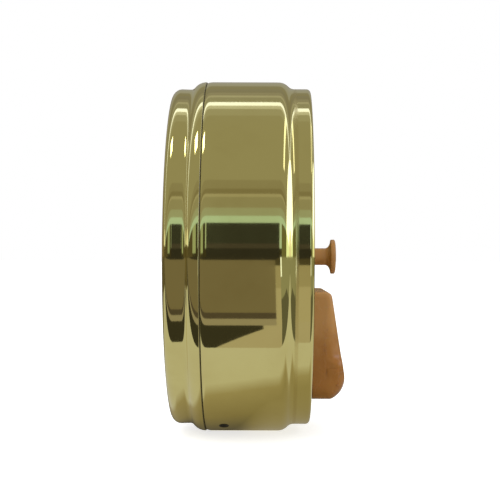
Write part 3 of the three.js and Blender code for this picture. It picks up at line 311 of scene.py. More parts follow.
class CaseSettings(bpy.types.PropertyGroup):
    """Sizes of the drum and the bezel, and the colour of their brass."""

    step: length("Step", "How far the back ring stands inside the drum", 2.3 * MM)
    shoulder: length("Shoulder", "Length of the drum's double-curved rear shoulder", 5.4 * MM)
    ring_length: length("Back ring", "Length of the ring behind the shoulder", 5.4 * MM)
    ring_wall: length("Back ring wall", "Thickness of the ring behind the shoulder", 2.55 * MM)
    ring_edge: length("Back edge", "Round of the back ring's outer edge", 1.3 * MM)
    drum_wall: length("Drum wall", "Thickness of the drum", 1.4 * MM)
    seam: length("Seam", "Round of the bezel's edge at the seam", 0.3 * MM)
    roll: length("Roll", "Reach of the drum's polished-down front edge", 2.6 * MM)
    roll_depth: length("Roll depth", "Depth of the drum's polished-down front edge", 0.4 * MM)
    lead: length("Lead", "Reach of the faint fall before the rear shoulder", 1.5 * MM)
    lead_depth: length("Lead depth", "Depth of the faint fall before the rear shoulder", 0.02 * MM)
    taper: length("Taper", "How much the bezel's band narrows towards the drum", 0.1 * MM)
    bezel_step: length("Bezel step", "How far the bezel's band stands inside the drum", 2.5 * MM)
    bezel_slope: length("Bezel slope", "Length of the bezel's double curve", 5.33 * MM)
    bezel_corner: length("Bezel corner", "Round between the bezel's band and its face", 3.0 * MM)
    bezel_face: length("Bezel face", "Width of the bezel's flat front face", 2.0 * MM)
    cove: length("Cove", "Depth of the hollow moulding inside the bezel's face", 2.2 * MM)
    cove_width: length("Cove width", "Width of the hollow moulding", 3.6 * MM)
    lip: length("Lip", "Thickness of the lip in front of the glass", 0.8 * MM)
    bezel_wall: length("Bezel wall", "Thickness of the bezel's band", 1.5 * MM)
    lug_width: length("Lug width", "Width of the lugs for the back's screws", 7.0 * MM)
    lug_thick: length("Lug thickness", "Thickness of the lugs for the back's screws", 3.3 * MM)
    edge: length("Edge", "Softening of sharp edges", 0.12 * MM)
    foot_radius: length("Foot radius", "Radius of each rubber foot", 1.65 * MM)
    foot_proud: length("Foot height", "How far each rubber foot stands off the drum", 0.5 * MM)
    brass: tint("Brass", "Colour of the polished brass", (0.80, 0.70, 0.255))
    tarnish: tint("Tarnish", "Colour of the duller brass", (0.62, 0.50, 0.15))
    grime: tint("Grime", "Colour of the dirt in the seam", (0.06, 0.046, 0.02))


class DialSettings(bpy.types.PropertyGroup):
    """Sizes and colours of the dial, its figures and the hands."""

    track: length("Minute track", "Radius of the minute track's outer line", 44.4 * MM)
    track_width: length("Track width", "Width of the minute track", 2.2 * MM)
    line: length("Line", "Width of the dial's fine lines", 0.22 * MM)
    figure_base: length("Figure base", "Radius where the hour figures stand", 32.5 * MM)
    figure_height: length("Figure height", "Height of the hour figures", 7.6 * MM)
    print_height: length("Print height", "How far the print stands off the dial", 0.03 * MM)
    retainer_taper: length("Taper", "Slope of the ring between glass and dial", 2.6 * MM)
    retainer_wall: length("Ring wall", "Thickness of the ring between glass and dial", 1.2 * MM)
    bush_radius: length("Bush radius", "Radius of the bush through the dial", 4.0 * MM)
    hub_width: length("Hub width", "Width of each hand's hub around its bore", 2.0 * MM)
    neck_width: length("Neck width", "Width of the hands beside the hub", 1.5 * MM)
    hour_length: length("Hour hand", "Length of the hour hand", 27.0 * MM)
    hour_width: length("Hour hand width", "Width of the hour hand's spade", 5.2 * MM)
    hour_bore: length("Hour hand bore", "Radius of the hour hand's bore", 2.5 * MM)
    minute_length: length("Minute hand", "Length of the minute hand", 40.0 * MM)
    minute_width: length("Minute hand width", "Width of the minute hand's spade", 4.2 * MM)
    minute_bore: length("Minute hand bore", "Radius of the minute hand's bore", 1.5 * MM)
    hour: FloatProperty(name="Hour", description="Hour that the hands show at rest", default=10 + 10 / 60)
    ivory: tint("Ivory", "Colour of the dial", (0.80, 0.75, 0.62))
    ink: tint("Ink", "Colour of the print and the hands", (0.012, 0.011, 0.012))


class BackSettings(bpy.types.PropertyGroup):
    """Sizes of the knob, the battery box and the back, and the colour of their plastic."""

    knob_radius: length("Knob radius", "Radius of the knob's rim", 5.97 * MM)
    knob_edge: length("Knob edge", "Round of the rim's edges", 0.35 * MM)
    knob_neck: length("Knob neck", "Radius of the knob's neck", 2.94 * MM)
    knob_rim: length("Knob rim", "Thickness of the knob's rim", 1.5 * MM)
    knob_fillet: length("Knob fillet", "Length of the round between neck and rim", 1.85 * MM)
    knob_dome: length("Knob dome", "Height of the knob's domed end", 0.46 * MM)
    box_top: length("Box top", "Drop of the battery box below the axis", 11.6 * MM)
    box_slope: FloatProperty(
        name="Box slope", description="Lean of the battery box's back", default=math.radians(9.3),
        subtype="ANGLE")
    top_round: length("Top round", "Round of the box's upper back edge", 2.2 * MM)
    bulge: length("Bulge", "Radius of the box's round lower end", 7.6 * MM)
    sole: length("Sole", "How much of the box's round lower end is flat", 0.6 * MM)
    top_corner: length("Side round", "Round of the box's side edges at its top", 1.7 * MM)
    crease_corner: length("Crease round", "Round of the box's side edges above their crease", 5.5 * MM)
    grip_corner: length("Grip round", "Round of the box's side edges beside the finger grip", 3.0 * MM)
    low_corner: length("Low side round", "Round of the box's side edges at its bottom", 5.0 * MM)
    plate_corner: length("Cover corner", "Round of the cover plate's corners", 5.0 * MM)
    wall: length("Plastic wall", "Thickness of the box", 1.6 * MM)
    cover_plate: length("Cover plate", "Thickness of the movement's cover", 1.9 * MM)
    door_gap: length("Door gap", "Gap around the battery cover", 0.3 * MM)
    grip_length: length("Grip length", "Length of the finger grip along the axis", 3.9 * MM)
    grip_inset: length("Grip inset", "Distance of the finger grip from the back of the box", 2.2 * MM)
    grip_top: length("Grip top", "Height of the finger grip's upper edge above the box's bottom", 11.1 * MM)
    grip_height: length("Grip height", "Height of the finger grip", 5.6 * MM)
    grip_proud: length("Grip depth", "How far the finger grip's upper edge stands off the box", 0.4 * MM)
    screw_radius: length("Screw radius", "Radius of the back's screws", 1.3 * MM)
    head_radius: length("Head radius", "Radius of the screws' heads", 2.8 * MM)
    head_height: length("Head height", "Height of the screws' heads", 1.2 * MM)
    slot: length("Slot", "Width of the screws' slots", 0.6 * MM)
    cell_nub: length("Cell nub", "Height of the cell's end contact", 1.2 * MM)
    plate_gap: length("Plate gap", "Gap around what passes through the back plate", 0.3 * MM)
    tan: tint("Tan", "Colour of the tan plastic", (0.46, 0.236, 0.074))
    # Amber is where the tan's clouds deepen, and also the painted shade towards the box's bottom
    amber: tint("Amber", "Deeper colour of the tan plastic", (0.33, 0.138, 0.026))


class StageSettings(bpy.types.PropertyGroup):
    """Camera, light and floor."""

    distance: length("Distance", "Camera's distance from the clock's axis", 0.444)
    along: length("Along", "Camera's place along the axis, from the seam", 20.77 * MM)
    lens: FloatProperty(name="Lens", description="Focal length in millimetres", default=91.4, unit="CAMERA")
    shift: FloatVectorProperty(
        name="Shift", description="Sideways and upward shift of the frame", default=(-0.036, 0.013), size=2)
    roll: FloatProperty(
        name="Roll", description="Roll of the camera", default=math.radians(0.18), subtype="ANGLE")
    floor: tint("Floor", "Colour of the floor", (0.62, 0.62, 0.61))
    lift: tint("Lift", "Light added to the floor as the camera, metal and glass see it", (0.72, 0.72, 0.72))
    fill: FloatProperty(name="Fill", description="Strength of the light from all around", default=0.9)
    key: FloatProperty(
        name="Key", description="Power in watts of the lamp beside the back", default=4.5, unit="POWER")
    dial_key: FloatProperty(
        name="Dial key", description="Power in watts of the lamp before the dial", default=6, unit="POWER")


class ClockSettings(bpy.types.PropertyGroup):
    """All settings of the clock."""

    case: PointerProperty(type=CaseSettings)
    dial: PointerProperty(type=DialSettings)
    back: PointerProperty(type=BackSettings)
    stage: PointerProperty(type=StageSettings)


class Value:
    """A node's output that takes part in Python arithmetic, where each operation adds one node."""

    def __init__(self, recipe, socket):
        self.recipe = recipe
        self.socket = socket

    def _joined(self, operation, first, second):
        kinds = {value.socket.type for value in (first, second) if isinstance(value, Value)}
        if "RGBA" in kinds:
            settings = {"data_type": "RGBA", "blend_type": operation}
            sockets = {"Factor_Float": 1.0, "A_Color": first, "B_Color": second}
            return self.recipe.node("ShaderNodeMix", settings, sockets, "Result_Color")
        if "VECTOR" in kinds:
            return self.recipe.node("ShaderNodeVectorMath", {"operation": operation}, {0: first, 1: second})
        return self.recipe.node("ShaderNodeMath", {"operation": operation}, {0: first, 1: second})

    def __add__(self, other):
        return self._joined("ADD", self, other)

    def __radd__(self, other):
        return self._joined("ADD", other, self)

    def __sub__(self, other):
        return self._joined("SUBTRACT", self, other)

    def __rsub__(self, other):
        return self._joined("SUBTRACT", other, self)

    def __mul__(self, other):
        return self._joined("MULTIPLY", self, other)

    def __rmul__(self, other):
        return self._joined("MULTIPLY", other, self)

    def __truediv__(self, other):
        return self._joined("DIVIDE", self, other)

    def __rtruediv__(self, other):
        return self._joined("DIVIDE", other, self)

    def __pow__(self, other):
        return self._joined("POWER", self, other)

    def __abs__(self):
        return self.recipe.node("ShaderNodeMath", {"operation": "ABSOLUTE"}, {0: self})


class Recipe:
    """A node tree under construction."""

    def __init__(self, owner):
        self.owner = owner
        owner.use_nodes = True
        self.tree = owner.node_tree
        self.tree.nodes.clear()

    def _found(self, sockets, key):
        if isinstance(key, int):
            return sockets[key]
        for socket in sockets:
            if key in (socket.identifier, socket.name):
                return socket
        raise KeyError(f"no socket {key} among {[s.identifier for s in sockets]}")

    def _fill(self, socket, value):
        if isinstance(value, Value):
            self.tree.links.new(value.socket, socket)
        elif socket.type == "RGBA" and len(value) == 3:
            socket.default_value = (*value, 1.0)
        else:
            socket.default_value = value

    def node(self, kind, settings=None, sockets=None, out=0):
        """Adds a node, sets its settings, then its sockets, and gives one of its outputs."""
        made = self.tree.nodes.new(kind)
        for key, setting in (settings or {}).items():
            if key == "stops":
                self._stops(made.color_ramp, setting)
            else:
                setattr(made, key, setting)
        for key, value in (sockets or {}).items():
            self._fill(self._found(made.inputs, key), value)
        return Value(self, self._found(made.outputs, out)) if made.outputs else None

    def _stops(self, ramp, stops):
        while len(ramp.elements) > 1:
            ramp.elements.remove(ramp.elements[-1])
        for index, (place, colour) in enumerate(stops):
            element = ramp.elements.new(place) if index else ramp.elements[0]
            element.position = place
            element.color = (*colour, 1.0)

    def place(self):
        """Coordinates of the surface in the clock's frame, in metres."""
        return self.node("ShaderNodeTexCoord", out="Object")

    def parts(self, vector):
        """The three numbers of a vector."""
        split = self.node("ShaderNodeSeparateXYZ", None, {0: vector})
        return [Value(self, socket) for socket in split.socket.node.outputs]

    def vector(self, x, y, z):
        """A vector of three numbers."""
        return self.node("ShaderNodeCombineXYZ", None, {0: x, 1: y, 2: z})

    def noise(self, vector, scale, detail=3.0, roughness=0.5):
        """Soft noise around one half."""
        sockets = {"Vector": vector, "Scale": scale, "Detail": detail, "Roughness": roughness}
        return self.node("ShaderNodeTexNoise", {"noise_dimensions": "3D"}, sockets, "Fac")

    def rise(self, value, low, high):
        """Zero below low, one above high, and a smooth way between them."""
        settings = {"interpolation_type": "SMOOTHSTEP"}
        return self.node("ShaderNodeMapRange", settings, {"Value": value, "From Min": low, "From Max": high})

    def blend(self, share, first, second):
        """A colour a share of the way from the first to the second."""
        sockets = {"Factor_Float": share, "A_Color": first, "B_Color": second}
        return self.node("ShaderNodeMix", {"data_type": "RGBA"}, sockets, "Result_Color")

    def bump(self, height, strength, distance):
        """Normals of a relief whose height is given in shares of a distance."""
        sockets = {"Height": height, "Strength": strength, "Distance": distance}
        return self.node("ShaderNodeBump", None, sockets)

    def turned_place(self):
        """Place along the axis, distance from it and turn around it."""
        x, along, z = self.parts(self.place())
        up = z - AXIS_HEIGHT
        radius = (x * x + up * up) ** 0.5
        turn = self.node("ShaderNodeMath", {"operation": "ARCTAN2"}, {0: up, 1: x})
        return along, radius, turn

    def looked_at(self):
        """One where the camera looks, also by way of metal or glass, and zero for light on things."""
        rays = self.node("ShaderNodeLightPath").socket.node.outputs
        camera, metal, clear = (
            Value(self, rays[name]) for name in ("Is Camera Ray", "Is Glossy Ray", "Is Transmission Ray"))
        seen = camera + metal + clear
        seen.socket.node.use_clamp = True
        return seen

    def surface(self, sockets):
        """A Principled shader on the output."""
        shader = self.node("ShaderNodeBsdfPrincipled", None, sockets)
        self.node("ShaderNodeOutputMaterial", None, {"Surface": shader})


def arc(centre, half, start, end, steps=ARC_STEPS):
    """Points of an ellipse's arc around a centre, between two angles in degrees."""
    points = []
    for step in range(steps + 1):
        angle = math.radians(start + (end - start) * step / steps)
        points.append((centre[0] + half[0] * math.cos(angle), centre[1] + half[1] * math.sin(angle)))
    return points


def ogee(start, start_radius, end, end_radius, share):
    """Points along a double curve, level at both ends: an arc over a share of the way, then a hollow."""
    bend = 2 * math.atan((start_radius - end_radius) / abs(end - start))
    along = (end - start) / math.sin(bend)
    drop = (start_radius - end_radius) / (1 - math.cos(bend))
    points = []
    for step in range(ARC_STEPS + 1):
        angle = bend * step / ARC_STEPS
        points.append((start + share * along * math.sin(angle),
                       start_radius - share * drop * (1 - math.cos(angle))))
    for step in range(ARC_STEPS - 1, -1, -1):
        angle = bend * step / ARC_STEPS
        points.append((end - (1 - share) * along * math.sin(angle),
                       end_radius + (1 - share) * drop * (1 - math.cos(angle))))
    return points


def rolled(inner, edge, radius, depth, power):
    """Points from a full radius inside an edge to the edge itself, where polishing took a depth away."""
    points = []
    for step in range(ARC_STEPS + 1):
        share = step / ARC_STEPS
        points.append((inner + (edge - inner) * share, radius - depth * share ** power))
    return points


def softened(points, radius):
    """The same closed outline with its sharp corners rounded off, and no point twice in a row."""
    made = []
    points = [point for index, point in enumerate(points) if math.dist(point, points[index - 1]) > TINY]
    for index, point in enumerate(points):
        here = Vector(point)
        before = Vector(points[index - 1]) - here
        after = Vector(points[(index + 1) % len(points)]) - here
        if here.y < TINY or math.pi - before.angle(after) < SOFT_BEND:
            made.append(tuple(here))
            continue
        reach = min(radius, before.length / CORNER_ROOM, after.length / CORNER_ROOM)
        start = here + before.normalized() * reach
        end = here + after.normalized() * reach
        for step in range(CORNER_STEPS + 1):
            share = step / CORNER_STEPS
            made.append(tuple(start.lerp(here, share).lerp(here.lerp(end, share), share)))
    return made


def rounded_rectangle(left, right, bottom, top, corner, top_corner):
    """A closed outline of a rectangle with rounded corners."""
    low = (corner, corner)
    high = (top_corner, top_corner)
    return [
        *arc((right - corner, bottom + corner), low, -90, 0, CORNER_STEPS * 2),
        *arc((right - top_corner, top - top_corner), high, 0, 90, CORNER_STEPS * 2),
        *arc((left + top_corner, top - top_corner), high, 90, 180, CORNER_STEPS * 2),
        *arc((left + corner, bottom + corner), low, 180, 270, CORNER_STEPS * 2),
    ]


def circle(x, z, radius, steps):
    """A closed outline of a circle."""
    return arc((x, z), (radius, radius), 0, 360 - 360 / steps, steps - 1)


def band(front, back, inner, outer):
    """A closed outline of a flat ring's section: places along the axis, then radii."""
    return [(front, inner), (front, outer), (back, outer), (back, inner)]


def guarded(outline):
    """The same outline with a point just inside each end of its long straights, so that they shade flat."""
    made = []
    for point, following in zip(outline, outline[1:] + outline[:1]):
        made.append(point)
        way = Vector(following) - Vector(point)
        if way.length > GUARD_LEAST and max(point[1], following[1]) > TINY:
            step = way.normalized() * GUARD
            made.append(tuple(Vector(point) + step))
            made.append(tuple(Vector(following) - step))
    return made


def turned(outline, steps=ROUND_STEPS, centre=(0.0, AXIS_HEIGHT)):
    """A mesh turned about an axis along Y from (place along Y, radius) points."""
    bm = bmesh.new()
    rings = []
    for along, radius in guarded(outline):
        if radius < TINY:
            rings.append([bm.verts.new((centre[0], along, centre[1]))] * steps)
            continue
        ring = []
        for step in range(steps):
            turn = 2 * math.pi * step / steps
            ring.append(bm.verts.new(
                (centre[0] + radius * math.sin(turn), along, centre[1] - radius * math.cos(turn))))
        rings.append(ring)
    following = rings[1:] if outline[0][1] < TINY else rings[1:] + rings[:1]
    for one, two in zip(rings, following):
        for step in range(steps):
            beside = (step + 1) % steps
            corners = dict.fromkeys((one[step], one[beside], two[beside], two[step]))
            if len(corners) > 2:
                bm.faces.new(corners)
    bmesh.ops.recalc_face_normals(bm, faces=bm.faces)
    return bm


def plate(outline, holes, front, thickness):
    """A flat plate drawn in X and Z with its holes, thickened along Y."""
    bm = bmesh.new()
    for loop in (outline, *holes):
        corners = [bm.verts.new((x, front, z)) for x, z in loop]
        for one, two in zip(corners, corners[1:] + corners[:1]):
            bm.edges.new((one, two))
    bmesh.ops.triangle_fill(bm, use_beauty=True, edges=bm.edges)
    thick = bmesh.ops.extrude_face_region(bm, geom=bm.faces[:])["geom"]
    moved = [item for item in thick if isinstance(item, bmesh.types.BMVert)]
    bmesh.ops.translate(bm, verts=moved, vec=(0, thickness, 0))
    bmesh.ops.recalc_face_normals(bm, faces=bm.faces)
    return bm


def block(low, high):
    """A box between two corners."""
    bm = bmesh.new()
    bmesh.ops.create_cube(bm, size=1)
    low, high = Vector(low), Vector(high)
    bmesh.ops.scale(bm, vec=high - low, verts=bm.verts)
    bmesh.ops.translate(bm, vec=(low + high) / 2, verts=bm.verts)
    return bm


def bevelled(bm, width):
    """The same mesh with its sharp edges rounded."""
    sharp = [edge for edge in bm.edges if edge.calc_face_angle(0) > SHARP_EDGE]
    bmesh.ops.bevel(bm, geom=sharp, offset=width, segments=BEVEL_STEPS, profile=0.5, affect="EDGES")
    return bm


def mesh_of(name, bm):
    """Mesh data with the form of a mesh under construction, which ends with it."""
    mesh = bpy.data.meshes.new(name)
    bm.to_mesh(mesh)
    bm.free()
    return mesh


def linked(name, data):
    """An object that holds data, in the scene."""
    made = bpy.data.objects.new(name, data)
    bpy.context.scene.collection.objects.link(made)
    return made


def merge(first, other):
    """Adds a mesh to the first one, each kept as it is."""
    mesh = mesh_of("part", other)
    first.from_mesh(mesh)
    bpy.data.meshes.remove(mesh)


def combined(first, second, operation):
    """The union, difference or intersection of two closed meshes."""
    holders = [linked("holder", mesh_of("holder", bm)) for bm in (first, second)]
    modifier = holders[0].modifiers.new("join", "BOOLEAN")
    modifier.operation = operation
    modifier.solver = "EXACT"
    modifier.object = holders[1]
    shown = holders[0].evaluated_get(bpy.context.evaluated_depsgraph_get())
    made = bmesh.new()
    made.from_mesh(shown.to_mesh())
    shown.to_mesh_clear()
    for holder in holders:
        mesh = holder.data
        bpy.data.objects.remove(holder)
        bpy.data.meshes.remove(mesh)
    bmesh.ops.remove_doubles(made, verts=made.verts, dist=WELD)
    if not made.faces:
        raise RuntimeError(f"nothing is left after the {operation.lower()}")
    return made


def piece(name, bm, body, slot, *nodes):
    """An object made of a mesh, which rides on a body, has a slot's finish and stands for CAD nodes."""
    for edge in bm.edges:
        edge.smooth = len(edge.link_faces) == 2 and edge.calc_face_angle(0) < SHARP_EDGE
    for face in bm.faces:
        face.smooth = True
    mesh = mesh_of(name, bm)
    mesh.materials.append(finish(slot))
    made = linked(name, mesh)
    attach(made, body)
    if nodes:
        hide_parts(*nodes)
    return made


def settings():
    """The clock's settings."""
    return bpy.context.scene.desk_clock


# Finishes, one function for each material slot of the record
def polished_brass(recipe):
    """Bright lacquered brass, with faint turning lines, clouds of tarnish and dirt in the grooves."""
    case = settings().case
    along, radius, turn = recipe.turned_place()
    place = recipe.place()
    clouds = recipe.noise(place, scale=38.0, detail=4.0, roughness=0.55)
    smears = recipe.noise(place * (1.0, 2.5, 1.0), scale=120.0)
    turning = recipe.vector(along * LINES, radius * LINES, turn * LINES_AROUND)
    lines = recipe.noise(turning, scale=1.0, detail=2.0)
    scoring = recipe.vector(along * SCORES, turn * SCORES_AROUND, radius * SCORES)
    scratches = recipe.rise(recipe.noise(scoring, scale=1.0, detail=5.0), 0.66, 0.8)
    seam = 1 - recipe.rise(abs(along - (SEAM - case.seam / 2)), case.seam * 0.4, case.seam)
    back = 1 - recipe.rise(abs(along - (BACK_EDGE - case.ring_length)), 0.2 * MM, 0.9 * MM)
    dull = recipe.rise(clouds, 0.42, 0.75) * 0.35 + back * 0.45
    colour = recipe.blend(dull, case.brass, case.tarnish)
    recipe.surface({
        "Base Color": recipe.blend(seam * 0.9, colour, case.grime),
        "Metallic": 1.0 - seam * 0.6,
        "Roughness": 0.045 + smears * 0.03 + scratches * 0.08 + back * 0.16 + seam * 0.4,
        "Coat Weight": 0.25,
        "Coat Roughness": 0.03,
        "Normal": recipe.bump(lines + smears * 2.0, strength=0.012, distance=0.02 * MM),
    })


def satin_brass(recipe):
    """Brass turned and brushed around the clock's axis."""
    along, radius, turn = recipe.turned_place()
    brushing = recipe.vector(radius * BRUSHING, along * BRUSHING, turn * BRUSHING_AROUND)
    brush = recipe.noise(brushing, scale=1.0, detail=4.0, roughness=0.6)
    clouds = recipe.noise(recipe.place(), scale=60.0)
    dull = recipe.rise(clouds, 0.35, 0.8) * 0.6 + brush * 0.25
    recipe.surface({
        "Base Color": recipe.blend(dull, *SATIN_BRASS),
        "Metallic": 1.0,
        "Roughness": 0.22 + brush * 0.2,
        "Normal": recipe.bump(brush, strength=0.12, distance=0.03 * MM),
    })


def steel(recipe):
    """Plain bright steel with fine grain and a little oil."""
    place = recipe.place()
    grain = recipe.noise(place * (1.0, 14.0, 1.0), scale=900.0, detail=4.0, roughness=0.6)
    oil = recipe.rise(recipe.noise(place, scale=150.0), 0.45, 0.7)
    recipe.surface({
        "Base Color": recipe.blend(oil, *STEEL),
        "Metallic": 1.0,
        "Roughness": 0.24 + grain * 0.18 - oil * 0.06,
        "Normal": recipe.bump(grain, strength=0.1, distance=0.03 * MM),
    })


def magnet_steel(recipe):
    """Dark sintered magnet."""
    grain = recipe.noise(recipe.place(), scale=2600.0, detail=4.0, roughness=0.7)
    recipe.surface({
        "Base Color": recipe.blend(grain, *MAGNET),
        "Metallic": 0.7,
        "Roughness": 0.45 + grain * 0.2,
        "Normal": recipe.bump(grain, strength=0.25, distance=0.03 * MM),
    })


def moulded(recipe, first, second, dark, roughness, grain_scale, glow, deep_with_painted_shade=0.0):
    """Moulded plastic: cloudy colour, deeper by a share of painted shade, fine grain and a skin that lets
    light in.
    """
    place = recipe.place()
    clouds = recipe.noise(place * (1.0, 1.0, 0.6), scale=70.0)
    flow = recipe.noise(place * (0.3, 1.6, 1.0), scale=240.0, detail=4.0, roughness=0.6)
    grain = recipe.noise(place, grain_scale, roughness=0.6)
    worn = recipe.rise(recipe.noise(place, scale=420.0, detail=5.0), 0.58, 0.74)
    # A share of painted shade deepens the colour along with the clouds
    colour = recipe.blend(recipe.rise(clouds + flow * 0.5 + deep_with_painted_shade, 0.65, 1.35), first, second)
    recipe.surface({
        "Base Color": recipe.blend(worn * 0.25, colour, dark),
        "Roughness": roughness + flow * 0.12 + worn * 0.08,
        "Subsurface Weight": glow,
        "Subsurface Radius": (1.0, 0.45, 0.2),
        "Subsurface Scale": 1.6 * MM,
        "Specular IOR Level": 0.22,
        "Normal": recipe.bump(grain + flow * 1.5, strength=0.1, distance=0.05 * MM),
    })


def tan_plastic(recipe):
    """Tan plastic, a little translucent, with painted shade deepening it to amber towards the box's bottom.
    """
    back = settings().back
    height = recipe.parts(recipe.place())[2]
    # Painted shade: the lower on the box, the deeper towards amber, standing in for the light that falls off
    # there
    deep_with_painted_shade = 1 - recipe.rise(height, COVER_LOW.z, AXIS_HEIGHT - back.box_top)
    moulded(
        recipe, back.tan, back.amber, TAN_WEAR,
        roughness=0.2, grain_scale=1900.0, glow=0.12, deep_with_painted_shade=deep_with_painted_shade * 0.8)


def white_plastic(recipe):
    """White movement plastic."""
    moulded(recipe, *WHITE_PLASTIC, roughness=0.38, grain_scale=1600.0, glow=0.06)


def chip_black(recipe):
    """Poured black resin."""
    swell = recipe.noise(recipe.place(), scale=700.0)
    recipe.surface({
        "Base Color": recipe.blend(swell, *RESIN),
        "Roughness": 0.25 + swell * 0.2,
        "Normal": recipe.bump(swell, strength=0.3, distance=0.1 * MM),
    })


def black_paint(recipe):
    """Black enamel of the hands and the dial's print."""
    flow = recipe.noise(recipe.place(), scale=500.0, detail=4.0)
    recipe.surface({
        "Base Color": recipe.blend(recipe.rise(flow, 0.4, 0.8), settings().dial.ink, ENAMEL_WEAR),
        "Roughness": 0.26 + flow * 0.14,
        "Normal": recipe.bump(flow, strength=0.05, distance=0.03 * MM),
    })


def foot_rubber(recipe):
    """Dusty black rubber."""
    place = recipe.place()
    pits = recipe.noise(place, scale=2400.0, detail=4.0, roughness=0.7)
    dust = recipe.rise(recipe.noise(place, scale=500.0), 0.45, 0.75)
    recipe.surface({
        "Base Color": recipe.blend(dust, *RUBBER),
        "Roughness": 0.62 + pits * 0.25,
        "Normal": recipe.bump(pits, strength=0.4, distance=0.05 * MM),
    })


def glass(recipe):
    """Clear mineral glass with a trace of handling on it."""
    smears = recipe.rise(recipe.noise(recipe.place(), scale=55.0, detail=5.0, roughness=0.6), 0.5, 0.8)
    recipe.surface({
        "Base Color": CLEAR,
        "Roughness": 0.004 + smears * 0.03,
        "IOR": 1.5,
        "Transmission Weight": 1.0,
    })


def dial_ivory(recipe):
    """Ivory lacquer, cloudy and finely speckled, with painted shade deepening it towards the rim."""
    dial = settings().dial
    place = recipe.place()
    speckle = recipe.noise(place, scale=2600.0, roughness=0.6)
    clouds = recipe.noise(place, scale=70.0)
    # Painted shade: the ivory deepens towards the dial's rim
    rim = recipe.rise(recipe.turned_place()[1], dial.track * 0.55, dial.track * 1.1)
    deep_with_painted_shade = rim * 0.5 + clouds * 0.3 + speckle * 0.15
    warm = tuple(level * share for level, share in zip(dial.ivory, RIM_SHADE_SHARES))
    recipe.surface({
        "Base Color": recipe.blend(deep_with_painted_shade, dial.ivory, warm),
        "Roughness": 0.42 + speckle * 0.16,
        "Normal": recipe.bump(speckle, strength=0.06, distance=0.02 * MM),
    })


def board_green(recipe):
    """Green circuit board with lighter tracks."""
    place = recipe.place()
    x, along, z = recipe.parts(place)
    tracks = recipe.node("ShaderNodeTexBrick", None, {
        "Vector": recipe.vector(x, z, along), "Scale": 220.0, "Color1": BOARD[0], "Color2": BOARD[1],
        "Mortar": BOARD_TRACK, "Mortar Size": 0.03}, "Color")
    weave = recipe.noise(place, scale=3000.0, detail=2.0)
    recipe.surface({
        "Base Color": recipe.blend(weave * 0.3, tracks, BOARD_WEAVE),
        "Roughness": 0.35 + weave * 0.2,
        "Normal": recipe.bump(weave, strength=0.1, distance=0.03 * MM),
    })


def coil_copper(recipe):
    """Enamelled copper wire, turn beside turn."""
    wires = recipe.node("ShaderNodeTexWave", {"wave_type": "BANDS", "bands_direction": "X"}, {
        "Vector": recipe.place(), "Scale": 1400.0, "Distortion": 0.6}, "Fac")
    recipe.surface({
        "Base Color": recipe.blend(wires, *COPPER_WIRE),
        "Metallic": 0.9,
        "Roughness": 0.3 + wires * 0.1,
        "Normal": recipe.bump(wires, strength=0.5, distance=0.1 * MM),
    })


def cell_jacket(recipe):
    """Printed foil jacket of a cell: a slate body and a copper end, with bare steel at the ends."""
    x, along, z = recipe.parts(recipe.place())
    copper_start = CELL_HIGH.x - (CELL_HIGH.x - CELL_LOW.x) * CELL_COPPER
    bare_start = CELL_HIGH.x - CELL_BARE
    bare = recipe.rise(abs(x), bare_start, bare_start + 0.1 * MM)
    copper = recipe.rise(x, copper_start, copper_start + 0.2 * MM)
    rub = recipe.noise(recipe.vector(x * 0.2, along, z), scale=900.0, detail=4.0)
    recipe.surface({
        "Base Color": recipe.blend(bare, recipe.blend(copper, *JACKET), JACKET_END),
        "Metallic": 0.35 + copper * 0.5 + bare * 0.15,
        "Roughness": 0.26 + rub * 0.2,
        "Normal": recipe.bump(rub, strength=0.04, distance=0.03 * MM),
    })


# The record's slots bear the names of these functions
FINISHES = {maker.__name__: maker for maker in (
    polished_brass, satin_brass, steel, magnet_steel, tan_plastic, white_plastic, chip_black, black_paint,
    foot_rubber, glass, dial_ivory, board_green, coil_copper, cell_jacket)}


def finish(slot):
    """The material of a slot, made once."""
    name = f"finish_{slot}"
    made = bpy.data.materials.get(name)
    if made is None:
        made = bpy.data.materials.new(name)
        FINISHES[slot](Recipe(made))
    return made


def around(bm, bearing):
    """Turns a mesh drawn about the origin to a bearing clockwise from the top, around the clock's axis."""
    turn = Matrix.Translation((0, 0, AXIS_HEIGHT)) @ Matrix.Rotation(math.radians(bearing), 4, "Y")
    bmesh.ops.transform(bm, matrix=turn, verts=bm.verts)
    return bm


def stroke(start, end, width):
    """Corners of a printed stroke with level ends."""
    half = width / 2
    return [(start[0] - half, start[1]), (start[0] + half, start[1]),
            (end[0] + half, end[1]), (end[0] - half, end[1])]


def figure(letters):
    """Strokes of an hour figure, standing above the middle of the dial."""
    dial = settings().dial
    height = dial.figure_height
    low = dial.figure_base
    high = low + height
    thick, thin, serif = THICK * height, THIN * height, SERIF * height
    left = -sum(LETTER_WIDTHS[letter] for letter in letters) * height / 2
    strokes = []
    for letter in letters:
        width = LETTER_WIDTHS[letter] * height
        middle = left + width / 2
        reach = width / 2 - thick
        if letter == "I":
            strokes.append(stroke((middle, low), (middle, high), thick))
            feet = [(middle, low), (middle, high - serif)]
        elif letter == "V":
            strokes.append(stroke((middle, low), (middle - reach, high), thick))
            strokes.append(stroke((middle, low), (middle + reach, high), thin))
            feet = [(middle - reach, high - serif), (middle + reach, high - serif)]
        else:
            strokes.append(stroke((middle + reach, low), (middle - reach, high), thick))
            strokes.append(stroke((middle - reach, low), (middle + reach, high), thin))
            feet = [(middle + side * reach, base) for side in (-1, 1) for base in (low, high - serif)]
        for x, z in feet:
            strokes.append(stroke((x, z), (x, z + serif), 2 * thick))
        left += width
    return strokes


def printed(strokes, bearing, front):
    """A mesh of printed strokes at a bearing on the dial."""
    dial = settings().dial
    bm = bmesh.new()
    for corners in strokes:
        merge(bm, plate(corners, [], front, dial.print_height))
    return around(bm, bearing)


